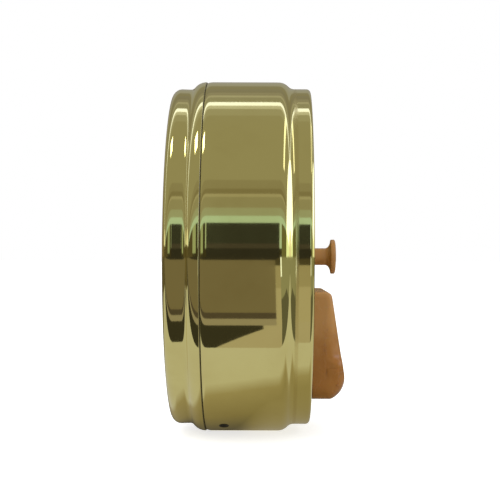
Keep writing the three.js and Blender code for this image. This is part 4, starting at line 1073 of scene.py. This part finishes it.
def hand_outline(reach, width, hub):
    """A spade hand that points up from the origin."""
    neck = settings().dial.neck_width / 2
    opening = math.degrees(math.acos(neck / hub))
    start, end = SPADE
    blade = []
    for step in range(2 * ARC_STEPS + 1):
        share = step / (2 * ARC_STEPS)
        swell = math.sin(math.pi * share ** SPADE_EARLY) ** SPADE_SHARP if 0 < share < 1 else 0
        half = neck * (1 - share * SPADE_NARROWS) + (width / 2 - neck) * swell
        blade.append((half, reach * (start + (end - start) * share)))
    return [
        *arc((0, 0), (hub, hub), 180 - opening, 360 + opening, SCREW_STEPS),
        *blade,
        (0, reach),
        *[(-x, z) for x, z in reversed(blade)],
    ]


def fanned(bm, rim, hub):
    """Closes a rim with triangles around a hub."""
    middle = bm.verts.new(hub)
    for one, two in zip(rim, rim[1:] + rim[:1]):
        bm.faces.new((one, two, middle))


def side_corner(down):
    """Round of the battery box's side edges at a share of the way down its back, eased between its stops."""
    back = settings().back
    stops = (
        (0.0, back.top_corner), (CREASE[0], back.crease_corner), (CREASE[1], back.grip_corner),
        (1.0, back.low_corner))
    for (start, first), (end, second) in zip(stops, stops[1:]):
        if down < end:
            share = max(0, (down - start) / (end - start))
            return first + (second - first) * share * share * (3 - 2 * share)
    return back.low_corner


def finger_grip(side):
    """A wedge on one flank of the battery cover, proud at its upper edge."""
    back = settings().back
    grip_back = DOOR_HIGH.y - back.grip_inset
    top = COVER_LOW.z + back.grip_top
    root = COVER_HIGH.x - back.wall + SEAT_GAP
    outer = COVER_HIGH.x + back.grip_proud
    wedge = block((root, grip_back - back.grip_length, top - back.grip_height), (outer, grip_back, top))
    for corner in wedge.verts:
        if corner.co.x > COVER_HIGH.x and corner.co.z < top - back.grip_height / 2:
            corner.co.x = COVER_HIGH.x - back.grip_proud
        corner.co.x *= side
    bmesh.ops.recalc_face_normals(wedge, faces=wedge.faces)
    return bevelled(wedge, back.grip_proud)


def box_profile(front):
    """The battery box's side view behind a front: points along and up, each with the angle that it faces."""
    back = settings().back
    top = AXIS_HEIGHT - back.box_top
    sole = COVER_LOW.z + back.sole
    middle = (DOOR_HIGH.y - back.bulge, COVER_LOW.z + back.bulge)
    slope = back.box_slope
    tangent_y = middle[0] + back.bulge * math.cos(slope)
    tangent_z = middle[1] + back.bulge * math.sin(slope)
    corner_y = tangent_y - (top - tangent_z) * math.tan(slope)
    round_y = corner_y - back.top_round / math.tan((math.pi / 2 + slope) / 2)
    lean = math.degrees(slope)
    upper = arc((round_y, top - back.top_round), (back.top_round, back.top_round), 90, lean)
    lower = arc(middle, (back.bulge, back.bulge), lean, -90, 2 * ARC_STEPS)
    profile = [((front, top), 90)]
    for step, point in enumerate(upper):
        profile.append((point, 90 + (lean - 90) * step / ARC_STEPS))
    for step in range(1, STRAIGHT_STEPS):
        profile.append((tuple(Vector(upper[-1]).lerp(Vector(lower[0]), step / STRAIGHT_STEPS)), lean))
    for step, (y, z) in enumerate(lower):
        profile.append(((y, max(z, sole)), lean - (90 + lean) * step / (2 * ARC_STEPS)))
    profile.append(((front, sole), -90))
    return profile


def box_form(inset, front):
    """The battery box with rounded side edges, or the room inside it at an inset, behind a front."""
    back = settings().back
    side = COVER_HIGH.x - inset
    top = AXIS_HEIGHT - back.box_top
    bulge_height = COVER_LOW.z + back.bulge
    bm = bmesh.new()
    rows = []
    for (y, z), angle in box_profile(front):
        inward = Vector((-math.cos(math.radians(angle)), -math.sin(math.radians(angle))))
        corner = side_corner((top - z) / (top - bulge_height)) - inset
        half = [(side - corner - GUARD, 0.0)]
        for step in range(ARC_STEPS + 1):
            turn = math.pi / 2 * step / ARC_STEPS
            half.append((side - corner * (1 - math.sin(turn)), corner * (1 - math.cos(turn))))
        half.append((side, corner + GUARD))
        row = []
        for across, depth in [(-across, depth) for across, depth in reversed(half)] + half:
            place = Vector((y, z)) + inward * (inset + depth)
            row.append(bm.verts.new((across, place.x, place.y)))
        rows.append(row)
    for one, two in zip(rows, rows[1:]):
        for index in range(len(one) - 1):
            bm.faces.new((one[index], one[index + 1], two[index + 1], two[index]))
    heart = front + (DOOR_HIGH.y - front) * FLANK_SHARE
    height = (top + COVER_LOW.z + back.sole) / 2
    fanned(bm, [row[0] for row in rows], (-side, heart, height))
    fanned(bm, [row[-1] for row in rows], (side, heart, height))
    fanned(bm, rows[0] + rows[-1][::-1], (0, front, height))
    bmesh.ops.recalc_face_normals(bm, faces=bm.faces)
    return bm


def stage_mesh(name, corners, faces):
    """A piece of the stage."""
    mesh = bpy.data.meshes.new(name)
    mesh.from_pydata(corners, [], faces)
    made = linked(name, mesh)
    return made


def sheet_on_floor(name, corners, lift):
    """A flat piece of the stage, lifted off the floor."""
    return stage_mesh(name, [(x, y, lift) for x, y in corners], [tuple(range(len(corners)))])


def arc_card(name, radius, start, end, along):
    """A card bent around the clock's axis between two angles above the floor."""
    steps = max(1, math.ceil((end - start) / CARD_BEND))
    bent = arc((0, AXIS_HEIGHT), (radius, radius), start, end, steps)
    corners = [(x, y, z) for x, z in bent for y in along]
    faces = [(2 * i, 2 * i + 1, 2 * i + 3, 2 * i + 2) for i in range(steps)]
    return stage_mesh(name, corners, faces)


def glowing(card, light):
    """Gives a card its own light, a colour or a ramp's stops across the table, seen in reflections only; the
    ramp paints the clock's shadow on the table.
    """
    recipe = Recipe(bpy.data.materials.new(card.name))
    if isinstance(light[0], tuple):
        # The ramp is a painted shadow of the clock on the table: darkest close under it, paler further out
        # and towards the back
        across, along = recipe.parts(recipe.place())[:2]
        low, high = NEAR_REACH
        front = recipe.node("ShaderNodeMath", {"operation": "MAXIMUM"}, {0: NEAR_BEND - along, 1: 0.0})
        share = (across - along * NEAR_TURN + front * NEAR_STEEP - low) / (high - low)
        least = sum(recipe.rise(along, start, end) * gain for start, end, gain in NEAR_RISES)
        shade = recipe.node("ShaderNodeMath", {"operation": "MAXIMUM"}, {0: share, 1: least})
        light = recipe.node("ShaderNodeValToRGB", {"stops": light}, {"Fac": shade}, "Color")
    recipe.surface({
        "Base Color": BLACK,
        "Specular IOR Level": 0.0,
        "Emission Color": light,
        "Emission Strength": 1.0,
    })
    card.data.materials.append(recipe.owner)
    card.visible_camera = False
    card.visible_diffuse = False
    card.visible_transmission = False
    card.visible_shadow = False


def lay_floor(stage):
    """A pale floor that takes shadows, lifted to white where the camera looks."""
    far = FLOOR_REACH
    floor = sheet_on_floor("floor", ((-far, -far), (far, -far), (far, far), (-far, far)), 0)
    recipe = Recipe(bpy.data.materials.new("floor"))
    recipe.surface({
        "Base Color": stage.floor,
        "Roughness": 0.9,
        "Specular IOR Level": 0.0,
        "Emission Color": recipe.blend(recipe.looked_at(), BLACK, stage.lift),
        "Emission Strength": 1.0,
    })
    floor.data.materials.append(recipe.owner)


def hang_cards():
    """The cards, sheets and wall that the brass reflects."""
    for kind, radius, cards in (("card", CARD_RADIUS, ROOM), ("light", LIGHT_RADIUS, LIGHTS)):
        for index, (start, end, along, level) in enumerate(cards):
            glowing(arc_card(f"{kind}_{index}", radius, start, end, along), level)
    for index, (corners, level) in enumerate(TABLE):
        glowing(sheet_on_floor(f"sheet_{index}", corners, TABLE_LIFT), level)
    # A sheet that paints the clock's shadow on the table, for the brass to reflect
    glowing(sheet_on_floor("painted_shadow_sheet", NEAR_CORNERS, TABLE_LIFT), PAINTED_SHADOW_LIGHT)
    ends = ((-1, 0), (1, 0), (1, END_HEIGHT), (-1, END_HEIGHT))
    wall = [(side * CARD_RADIUS, END_WALL, up) for side, up in ends]
    glowing(stage_mesh("end_wall", wall, [(0, 1, 2, 3)]), END_LIGHT)


def fill_room(stage):
    """Light from all around, and white where the camera looks past the floor."""
    recipe = Recipe(bpy.data.worlds.new("studio"))
    fill = recipe.node("ShaderNodeBackground", None, {"Color": WHITE, "Strength": stage.fill})
    white = recipe.node("ShaderNodeBackground", None, {"Color": WHITE, "Strength": 1.0})
    mixed = recipe.node("ShaderNodeMixShader", None, {0: recipe.looked_at(), 1: fill, 2: white})
    recipe.node("ShaderNodeOutputWorld", None, {"Surface": mixed})
    bpy.context.scene.world = recipe.owner


def hang_lamp(name, place, power):
    """A large soft lamp that faces the clock and shows in no reflection."""
    lamp = bpy.data.lights.new(name, "AREA")
    lamp.size = LAMP_SIZE
    lamp.energy = power
    lit = linked(name, lamp)
    lit.location = place
    way = Vector((0, 0, AXIS_HEIGHT)) - lit.location
    lit.rotation_euler = way.to_track_quat("-Z", "Y").to_euler()
    lit.visible_glossy = False


def set_camera(stage):
    """The camera beside the clock, level with its axis."""
    camera = bpy.data.cameras.new("camera")
    camera.lens = stage.lens
    camera.shift_x, camera.shift_y = stage.shift
    holder = linked("camera", camera)
    facing = Matrix.Rotation(math.pi / 2, 4, "Z") @ Matrix.Rotation(math.pi / 2, 4, "X")
    place = Matrix.Translation((stage.distance, SEAM + stage.along, AXIS_HEIGHT))
    holder.matrix_world = place @ facing @ Matrix.Rotation(stage.roll, 4, "Z")
    bpy.context.scene.camera = holder


class CLOCK_OT_drum(bpy.types.Operator):
    """Turns the drum with its rounded shoulder, back ring and the lugs inside for the back's screws"""

    bl_idname = "clock.drum"
    bl_label = "Drum"

    def execute(self, context):
        case = settings().case
        ring = DRUM_RADIUS - case.step
        bore = DRUM_RADIUS - case.drum_wall
        ring_bore = ring - case.ring_wall
        shoulder_end = BACK_EDGE - case.ring_length
        shoulder_start = shoulder_end - case.shoulder
        edge = (case.ring_edge, case.ring_edge)
        lug_back = PLATE_LOW.y - SEAT_GAP
        half = case.lug_width / 2
        outline = softened([
            (shoulder_start, bore),
            (SEAM, bore),
            *reversed(rolled(SEAM + case.roll, SEAM, DRUM_RADIUS, case.roll_depth, ROLL_POWER)),
            *rolled(shoulder_start - case.lead, shoulder_start, DRUM_RADIUS, case.lead_depth, LEAD_POWER),
            *ogee(shoulder_start, DRUM_RADIUS - case.lead_depth, shoulder_end, ring, SHOULDER_SHARE),
            *arc((BACK_EDGE - case.ring_edge, ring - case.ring_edge), edge, 90, 0),
            (BACK_EDGE, ring_bore),
            (shoulder_end - case.drum_wall, ring_bore),
        ], case.edge)
        shell = turned(outline)
        for bearing in SCREW_BEARINGS:
            lug = block(
                (-half, lug_back - case.lug_thick, SCREW_CIRCLE - half), (half, lug_back, ring_bore))
            merge(shell, around(bevelled(lug, case.edge), bearing))
        piece("drum_shell", shell, "case", "polished_brass", "case_drum")
        return {"FINISHED"}


class CLOCK_OT_bezel(bpy.types.Operator):
    """Turns the bezel, its glass and the ring that holds the glass"""

    bl_idname = "clock.bezel"
    bl_label = "Bezel and glass"

    def execute(self, context):
        case = settings().case
        dial = settings().dial
        ring = DRUM_RADIUS - case.bezel_step
        back = SEAM - SEAT_GAP
        slope_start = back - case.seam
        front = BEZEL_LOW.y
        corner = (case.bezel_corner, case.bezel_corner)
        half_taper = case.taper / 2
        lip_radius = ring - case.bezel_corner - case.bezel_face - case.cove_width
        seat = front + case.cove + case.lip
        bore = ring - case.bezel_wall
        sleeve = DRUM_RADIUS - case.drum_wall - 2 * SEAT_GAP
        rebate = GLASS_HIGH.x + 2 * SEAT_GAP
        outline = softened([
            (BEZEL_HIGH.y, sleeve),
            (back, sleeve),
            (back, DRUM_RADIUS - case.seam),
            *ogee(slope_start, DRUM_RADIUS, slope_start - case.bezel_slope, ring - half_taper, BEZEL_SHARE),
            *arc((front + case.bezel_corner, ring + half_taper - case.bezel_corner), corner, 90, 180),
            *arc((front, lip_radius), (case.cove, case.cove_width), 90, 0),
            (seat, lip_radius),
            (seat, rebate),
            (GLASS_HIGH.y, rebate),
            (GLASS_HIGH.y, bore),
            (BEZEL_HIGH.y, bore),
        ], case.edge)
        piece("bezel_turned", turned(outline), "case", "polished_brass", "bezel_ring")
        outline = [
            (GLASS_LOW.y, 0),
            (GLASS_LOW.y, GLASS_HIGH.x - case.edge),
            (GLASS_LOW.y + case.edge, GLASS_HIGH.x),
            (GLASS_HIGH.y - case.edge, GLASS_HIGH.x),
            (GLASS_HIGH.y, GLASS_HIGH.x - case.edge),
            (GLASS_HIGH.y, 0),
        ]
        pane = piece("glass_pane", turned(outline), "case", "glass", "crystal_glass")
        pane.visible_shadow = False
        low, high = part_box("glass_retaining_ring")
        wall = dial.retainer_wall
        narrow = lip_radius - dial.retainer_taper
        outline = softened([
            (low.y, lip_radius),
            (low.y, high.x),
            (low.y + wall, high.x),
            (low.y + wall, lip_radius + wall),
            (high.y, narrow + wall),
            (high.y, narrow),
        ], case.edge)
        piece("retainer_turned", turned(outline), "case", "satin_brass", "glass_retaining_ring")
        return {"FINISHED"}


class CLOCK_OT_dial(bpy.types.Operator):
    """Makes the dial with its printed figures and minute track, and the nut and washer at its middle"""

    bl_idname = "clock.dial"
    bl_label = "Dial"

    def execute(self, context):
        dial = settings().dial
        edge = settings().case.edge
        bore = dial.bush_radius + SEAT_GAP
        disc = softened(band(DIAL_LOW.y, DIAL_HIGH.y, bore, DIAL_HIGH.x), edge)
        piece("dial_disc", turned(disc), "case", "dial_ivory", "dial")
        front = DIAL_LOW.y - dial.print_height
        half = dial.line / 2
        inner_line = dial.track - dial.track_width
        marks = bmesh.new()
        for radius in (dial.track, inner_line):
            merge(marks, turned(band(front, DIAL_LOW.y, radius - half, radius + half)))
        for bearing in range(0, 360, MINUTE_TURN):
            wide = dial.line * (1 if bearing % HOUR_TURN else HOUR_MARK)
            merge(marks, printed([stroke((0, inner_line), (0, dial.track), wide)], bearing, front))
        for hour, letters in enumerate(ROMAN, 1):
            merge(marks, printed(figure(letters), hour * HOUR_TURN, front))
        piece("dial_print", marks, "case", "black_paint")
        low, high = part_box("dial_washer")
        washer = softened(band(low.y, high.y, bore, high.x), edge)
        piece("washer_turned", turned(washer, SMALL_STEPS), "case", "steel", "dial_washer")
        low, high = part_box("centre_nut")
        corners = circle(0, AXIS_HEIGHT, high.x, 6)
        hole = circle(0, AXIS_HEIGHT, bore, SMALL_STEPS)
        nut = bevelled(plate(corners, [hole], low.y, high.y - low.y), 2 * edge)
        piece("nut_bevelled", nut, "case", "satin_brass", "centre_nut")
        return {"FINISHED"}


class CLOCK_OT_hands(bpy.types.Operator):
    """Cuts the two spade hands and turns the cap in front of them"""

    bl_idname = "clock.hands"
    bl_label = "Hands"

    def execute(self, context):
        dial = settings().dial
        turn = dial.hour * HOUR_TURN
        sweep = dial.hour % 1 * 360
        hands = (
            ("hour", "hour_works", dial.hour_length, dial.hour_width, dial.hour_bore, turn),
            ("minute", "minute_works", dial.minute_length, dial.minute_width, dial.minute_bore, sweep),
        )
        for name, body, reach, width, bore, bearing in hands:
            low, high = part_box(f"{name}_hand")
            hole = circle(0, 0, bore, SMALL_STEPS)
            blade = plate(hand_outline(reach, width, bore + dial.hub_width), [hole], low.y, high.y - low.y)
            bevelled(blade, settings().case.edge)
            piece(f"{name}_blade", around(blade, bearing), body, "black_paint", f"{name}_hand")
        low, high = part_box("hand_cap")
        skirt = high.y - (high.y - low.y) * CAP_SKIRT
        cap = [
            (high.y, 0),
            (high.y, high.x),
            *arc((skirt, 0), (skirt - low.y, high.x), 90, 180)[:-1],
            (low.y, 0),
        ]
        piece("cap_turned", turned(cap, SMALL_STEPS), "minute_works", "satin_brass", "hand_cap")
        return {"FINISHED"}


class CLOCK_OT_back(bpy.types.Operator):
    """Cuts the back plate around the knob and the battery box, and turns its slotted screws"""

    bl_idname = "clock.back"
    bl_label = "Back plate"

    def execute(self, context):
        back = settings().back
        edge = settings().case.edge
        gap = back.plate_gap
        side = COVER_HIGH.x + gap
        holes = [
            circle(0, AXIS_HEIGHT, back.knob_neck + gap, SMALL_STEPS),
            rounded_rectangle(
                -side, side, COVER_LOW.z + back.sole - gap, AXIS_HEIGHT - back.box_top + gap,
                back.plate_corner + gap, back.top_corner + gap),
        ]
        for bearing in SCREW_BEARINGS:
            turn = math.radians(bearing)
            holes.append(circle(
                SCREW_CIRCLE * math.sin(turn), AXIS_HEIGHT + SCREW_CIRCLE * math.cos(turn),
                back.screw_radius + gap, SCREW_STEPS))
        outline = circle(0, AXIS_HEIGHT, PLATE_HIGH.x, ROUND_STEPS)
        sheet = bevelled(plate(outline, holes, PLATE_LOW.y, PLATE_HIGH.y - PLATE_LOW.y), edge)
        piece("back_sheet", sheet, "case", "satin_brass", "back_plate")
        for index in range(len(SCREW_BEARINGS)):
            low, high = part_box(f"back_screw_{index + 1}")
            middle = ((low.x + high.x) / 2, (low.z + high.z) / 2)
            seat = high.y - back.head_height
            dome = back.head_height / 2
            outline = softened([
                (low.y, 0),
                (low.y, back.screw_radius),
                (seat, back.screw_radius),
                (seat, back.head_radius),
                (high.y - dome, back.head_radius),
                *arc((high.y - dome, 0), (dome, back.head_radius), 80, 10),
                (high.y, 0),
            ], edge)
            blank = turned(outline, SCREW_STEPS, middle)
            half = back.slot / 2
            slot = block((-SLOT_REACH, high.y - dome, -half), (SLOT_REACH, high.y + dome, half))
            turn = Matrix.Rotation(math.radians(SLOT_TURN * (index + 1)), 4, "Y")
            place = Matrix.Translation((middle[0], 0, middle[1]))
            bmesh.ops.transform(slot, matrix=place @ turn, verts=slot.verts)
            screw = combined(blank, slot, "DIFFERENCE")
            piece(f"back_screw_turned_{index + 1}", screw, "case", "steel", f"back_screw_{index + 1}")
        return {"FINISHED"}


class CLOCK_OT_knob(bpy.types.Operator):
    """Turns the setting knob with its thin neck, flared rim and domed end"""

    bl_idname = "clock.knob"
    bl_label = "Setting knob"

    def execute(self, context):
        back = settings().back
        rim = back.knob_radius
        rim_back = KNOB_HIGH.y - back.knob_dome
        rim_front = rim_back - back.knob_rim
        flare = (back.knob_fillet, rim - back.knob_neck)
        soft = back.knob_edge
        outline = [
            (KNOB_LOW.y, 0),
            (KNOB_LOW.y, back.knob_neck),
            *arc((rim_front - back.knob_fillet, rim), flare, 270, 345),
            *arc((rim_front + soft, rim - soft), (soft, soft), 170, 90, CORNER_STEPS),
            *arc((rim_back - soft, rim - soft), (soft, soft), 90, 15, CORNER_STEPS),
            *arc((rim_back, 0), (back.knob_dome, rim - soft), 80, 5),
            (KNOB_HIGH.y, 0),
        ]
        piece("knob_turned", turned(outline, SMALL_STEPS), "minute_works", "tan_plastic", "setting_knob")
        return {"FINISHED"}


class CLOCK_OT_battery_box(bpy.types.Operator):
    """Moulds the movement's cover with the battery box, and the cover that slides off it"""

    bl_idname = "clock.battery_box"
    bl_label = "Battery box"

    def execute(self, context):
        back = settings().back
        edge = settings().case.edge
        side = COVER_HIGH.x
        slab_back = COVER_LOW.y + back.cover_plate
        outline = rounded_rectangle(
            -side + edge, side - edge, COVER_LOW.z + edge, COVER_HIGH.z,
            back.plate_corner, back.plate_corner)
        hole = circle(0, AXIS_HEIGHT, back.knob_neck, SMALL_STEPS)
        slab = plate(outline, [hole], COVER_LOW.y, back.cover_plate)
        far = 4 * side
        gap = back.door_gap
        cover = combined(slab, box_form(0, (COVER_LOW.y + slab_back) / 2), "UNION")
        cover = combined(cover, box_form(back.wall, COVER_LOW.y - back.wall), "DIFFERENCE")
        cover = combined(
            cover, block((-far, DOOR_LOW.y - gap, -far), (far, far, AXIS_HEIGHT)), "DIFFERENCE")
        piece("cover_moulded", cover, "case", "tan_plastic", "movement_cover")
        door = combined(
            box_form(0, COVER_LOW.y), block((-far, DOOR_LOW.y, -far), (far, far, AXIS_HEIGHT)), "INTERSECT")
        door = combined(door, box_form(back.wall, COVER_LOW.y), "DIFFERENCE")
        for flank in (-1, 1):
            door = combined(door, finger_grip(flank), "UNION")
        piece("battery_door", door, "battery_door", "tan_plastic", "battery_cover")
        return {"FINISHED"}


class CLOCK_OT_cell(bpy.types.Operator):
    """Turns the cell in the battery box, with dished ends and a nub"""

    bl_idname = "clock.cell"
    bl_label = "Cell"

    def execute(self, context):
        radius = (CELL_HIGH.z - CELL_LOW.z) / 2
        nub = settings().back.cell_nub
        half = (CELL_HIGH.x - CELL_LOW.x - nub) / 2
        minus_rim, plus_rim = (radius * share for share in CELL_RIMS)
        dish = nub * CELL_DISH
        nub_radius = nub * CELL_NUB_RADIUS
        outline = softened([
            (-half, 0),
            (-half, minus_rim),
            (-half + dish, minus_rim),
            (-half, radius),
            (half, radius),
            (half, plus_rim),
            (half - dish, plus_rim),
            (half - dish, nub_radius),
            (half + nub, nub_radius),
            (half + nub, 0),
        ], CELL_SOFT * settings().case.edge)
        cell = turned(outline, SMALL_STEPS, (0, 0))
        middle = (CELL_LOW + CELL_HIGH) / 2
        place = Matrix.Translation((middle.x - nub / 2, middle.y, middle.z))
        bmesh.ops.transform(cell, matrix=place @ Matrix.Rotation(-math.pi / 2, 4, "Z"), verts=cell.verts)
        piece("cell_turned", cell, "case", "cell_jacket", "battery")
        return {"FINISHED"}


class CLOCK_OT_feet(bpy.types.Operator):
    """Makes the two rubber feet under the drum"""

    bl_idname = "clock.feet"
    bl_label = "Feet"

    def execute(self, context):
        case = settings().case
        for side in ("left", "right"):
            low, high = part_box(f"foot_{side}")
            middle = (low + high) / 2
            bearing = math.atan2(middle.x, middle.z - AXIS_HEIGHT)
            root = DRUM_RADIUS - case.drum_wall / 2
            outline = [
                (DRUM_RADIUS + case.foot_proud, 0),
                *arc((DRUM_RADIUS, 0), (case.foot_proud, case.foot_radius), 8, 90),
                (root, case.foot_radius),
                (root, 0),
            ]
            button = turned(outline, SCREW_STEPS, (0, 0))
            turn = Matrix.Rotation(bearing, 4, "Y") @ Matrix.Rotation(math.pi / 2, 4, "X")
            place = Matrix.Translation((0, middle.y, AXIS_HEIGHT))
            bmesh.ops.transform(button, verts=button.verts, matrix=place @ turn)
            piece(f"foot_button_{side}", button, "case", "foot_rubber", f"foot_{side}")
        return {"FINISHED"}


class CLOCK_OT_movement(bpy.types.Operator):
    """Gives the movement's parts, whose shapes stay as they are, the finish of their slots"""

    bl_idname = "clock.movement"
    bl_label = "Movement"

    def execute(self, context):
        for part in frame["record"]["subparts"]:
            node = frame["nodes"][part["node"]]
            if node.hide_render:
                continue
            node.data.materials.clear()
            node.data.materials.append(finish(part["material_slot"]))
        return {"FINISHED"}


class CLOCK_OT_stage(bpy.types.Operator):
    """Sets the floor, the cards that the brass reflects, the light and the camera"""

    bl_idname = "clock.stage"
    bl_label = "Stage"

    def execute(self, context):
        stage = settings().stage
        context.scene.view_settings.view_transform = "Standard"
        lay_floor(stage)
        hang_cards()
        fill_room(stage)
        hang_lamp("key_lamp", KEY_PLACE, stage.key)
        hang_lamp("dial_lamp", DIAL_PLACE, stage.dial_key)
        set_camera(stage)
        return {"FINISHED"}


class CLOCK_PT_sidebar(bpy.types.Panel):
    """Lists the clock's settings and the steps that make it"""

    bl_idname = "CLOCK_PT_sidebar"
    bl_label = "Desk Clock"
    bl_space_type = "VIEW_3D"
    bl_region_type = "UI"
    bl_category = "Desk Clock"

    def draw(self, context):
        for group in ("case", "dial", "back", "stage"):
            owner = getattr(settings(), group)
            box = self.layout.box()
            box.label(text=group.title())
            for name in owner.bl_rna.properties.keys():
                if name not in ("rna_type", "name"):
                    box.prop(owner, name)
        for step in STEPS:
            self.layout.operator(step.bl_idname)


STEPS = (
    CLOCK_OT_drum,
    CLOCK_OT_bezel,
    CLOCK_OT_dial,
    CLOCK_OT_hands,
    CLOCK_OT_back,
    CLOCK_OT_knob,
    CLOCK_OT_battery_box,
    CLOCK_OT_cell,
    CLOCK_OT_feet,
    CLOCK_OT_movement,
    CLOCK_OT_stage,
)
CLASSES = (CaseSettings, DialSettings, BackSettings, StageSettings, ClockSettings, *STEPS, CLOCK_PT_sidebar)


def register():
    """Adds the classes and the scene's settings."""
    for entry in CLASSES:
        bpy.utils.register_class(entry)
    bpy.types.Scene.desk_clock = PointerProperty(type=ClockSettings)


def unregister():
    """Takes them out again."""
    del bpy.types.Scene.desk_clock
    for entry in reversed(CLASSES):
        bpy.utils.unregister_class(entry)


def main():
    """Makes the clock and its stage."""
    register()
    bpy.ops.clock.drum()
    bpy.ops.clock.bezel()
    bpy.ops.clock.dial()
    bpy.ops.clock.hands()
    bpy.ops.clock.back()
    bpy.ops.clock.knob()
    bpy.ops.clock.battery_box()
    bpy.ops.clock.cell()
    bpy.ops.clock.feet()
    bpy.ops.clock.movement()
    bpy.ops.clock.stage()


if __name__ == "__main__":
    main()
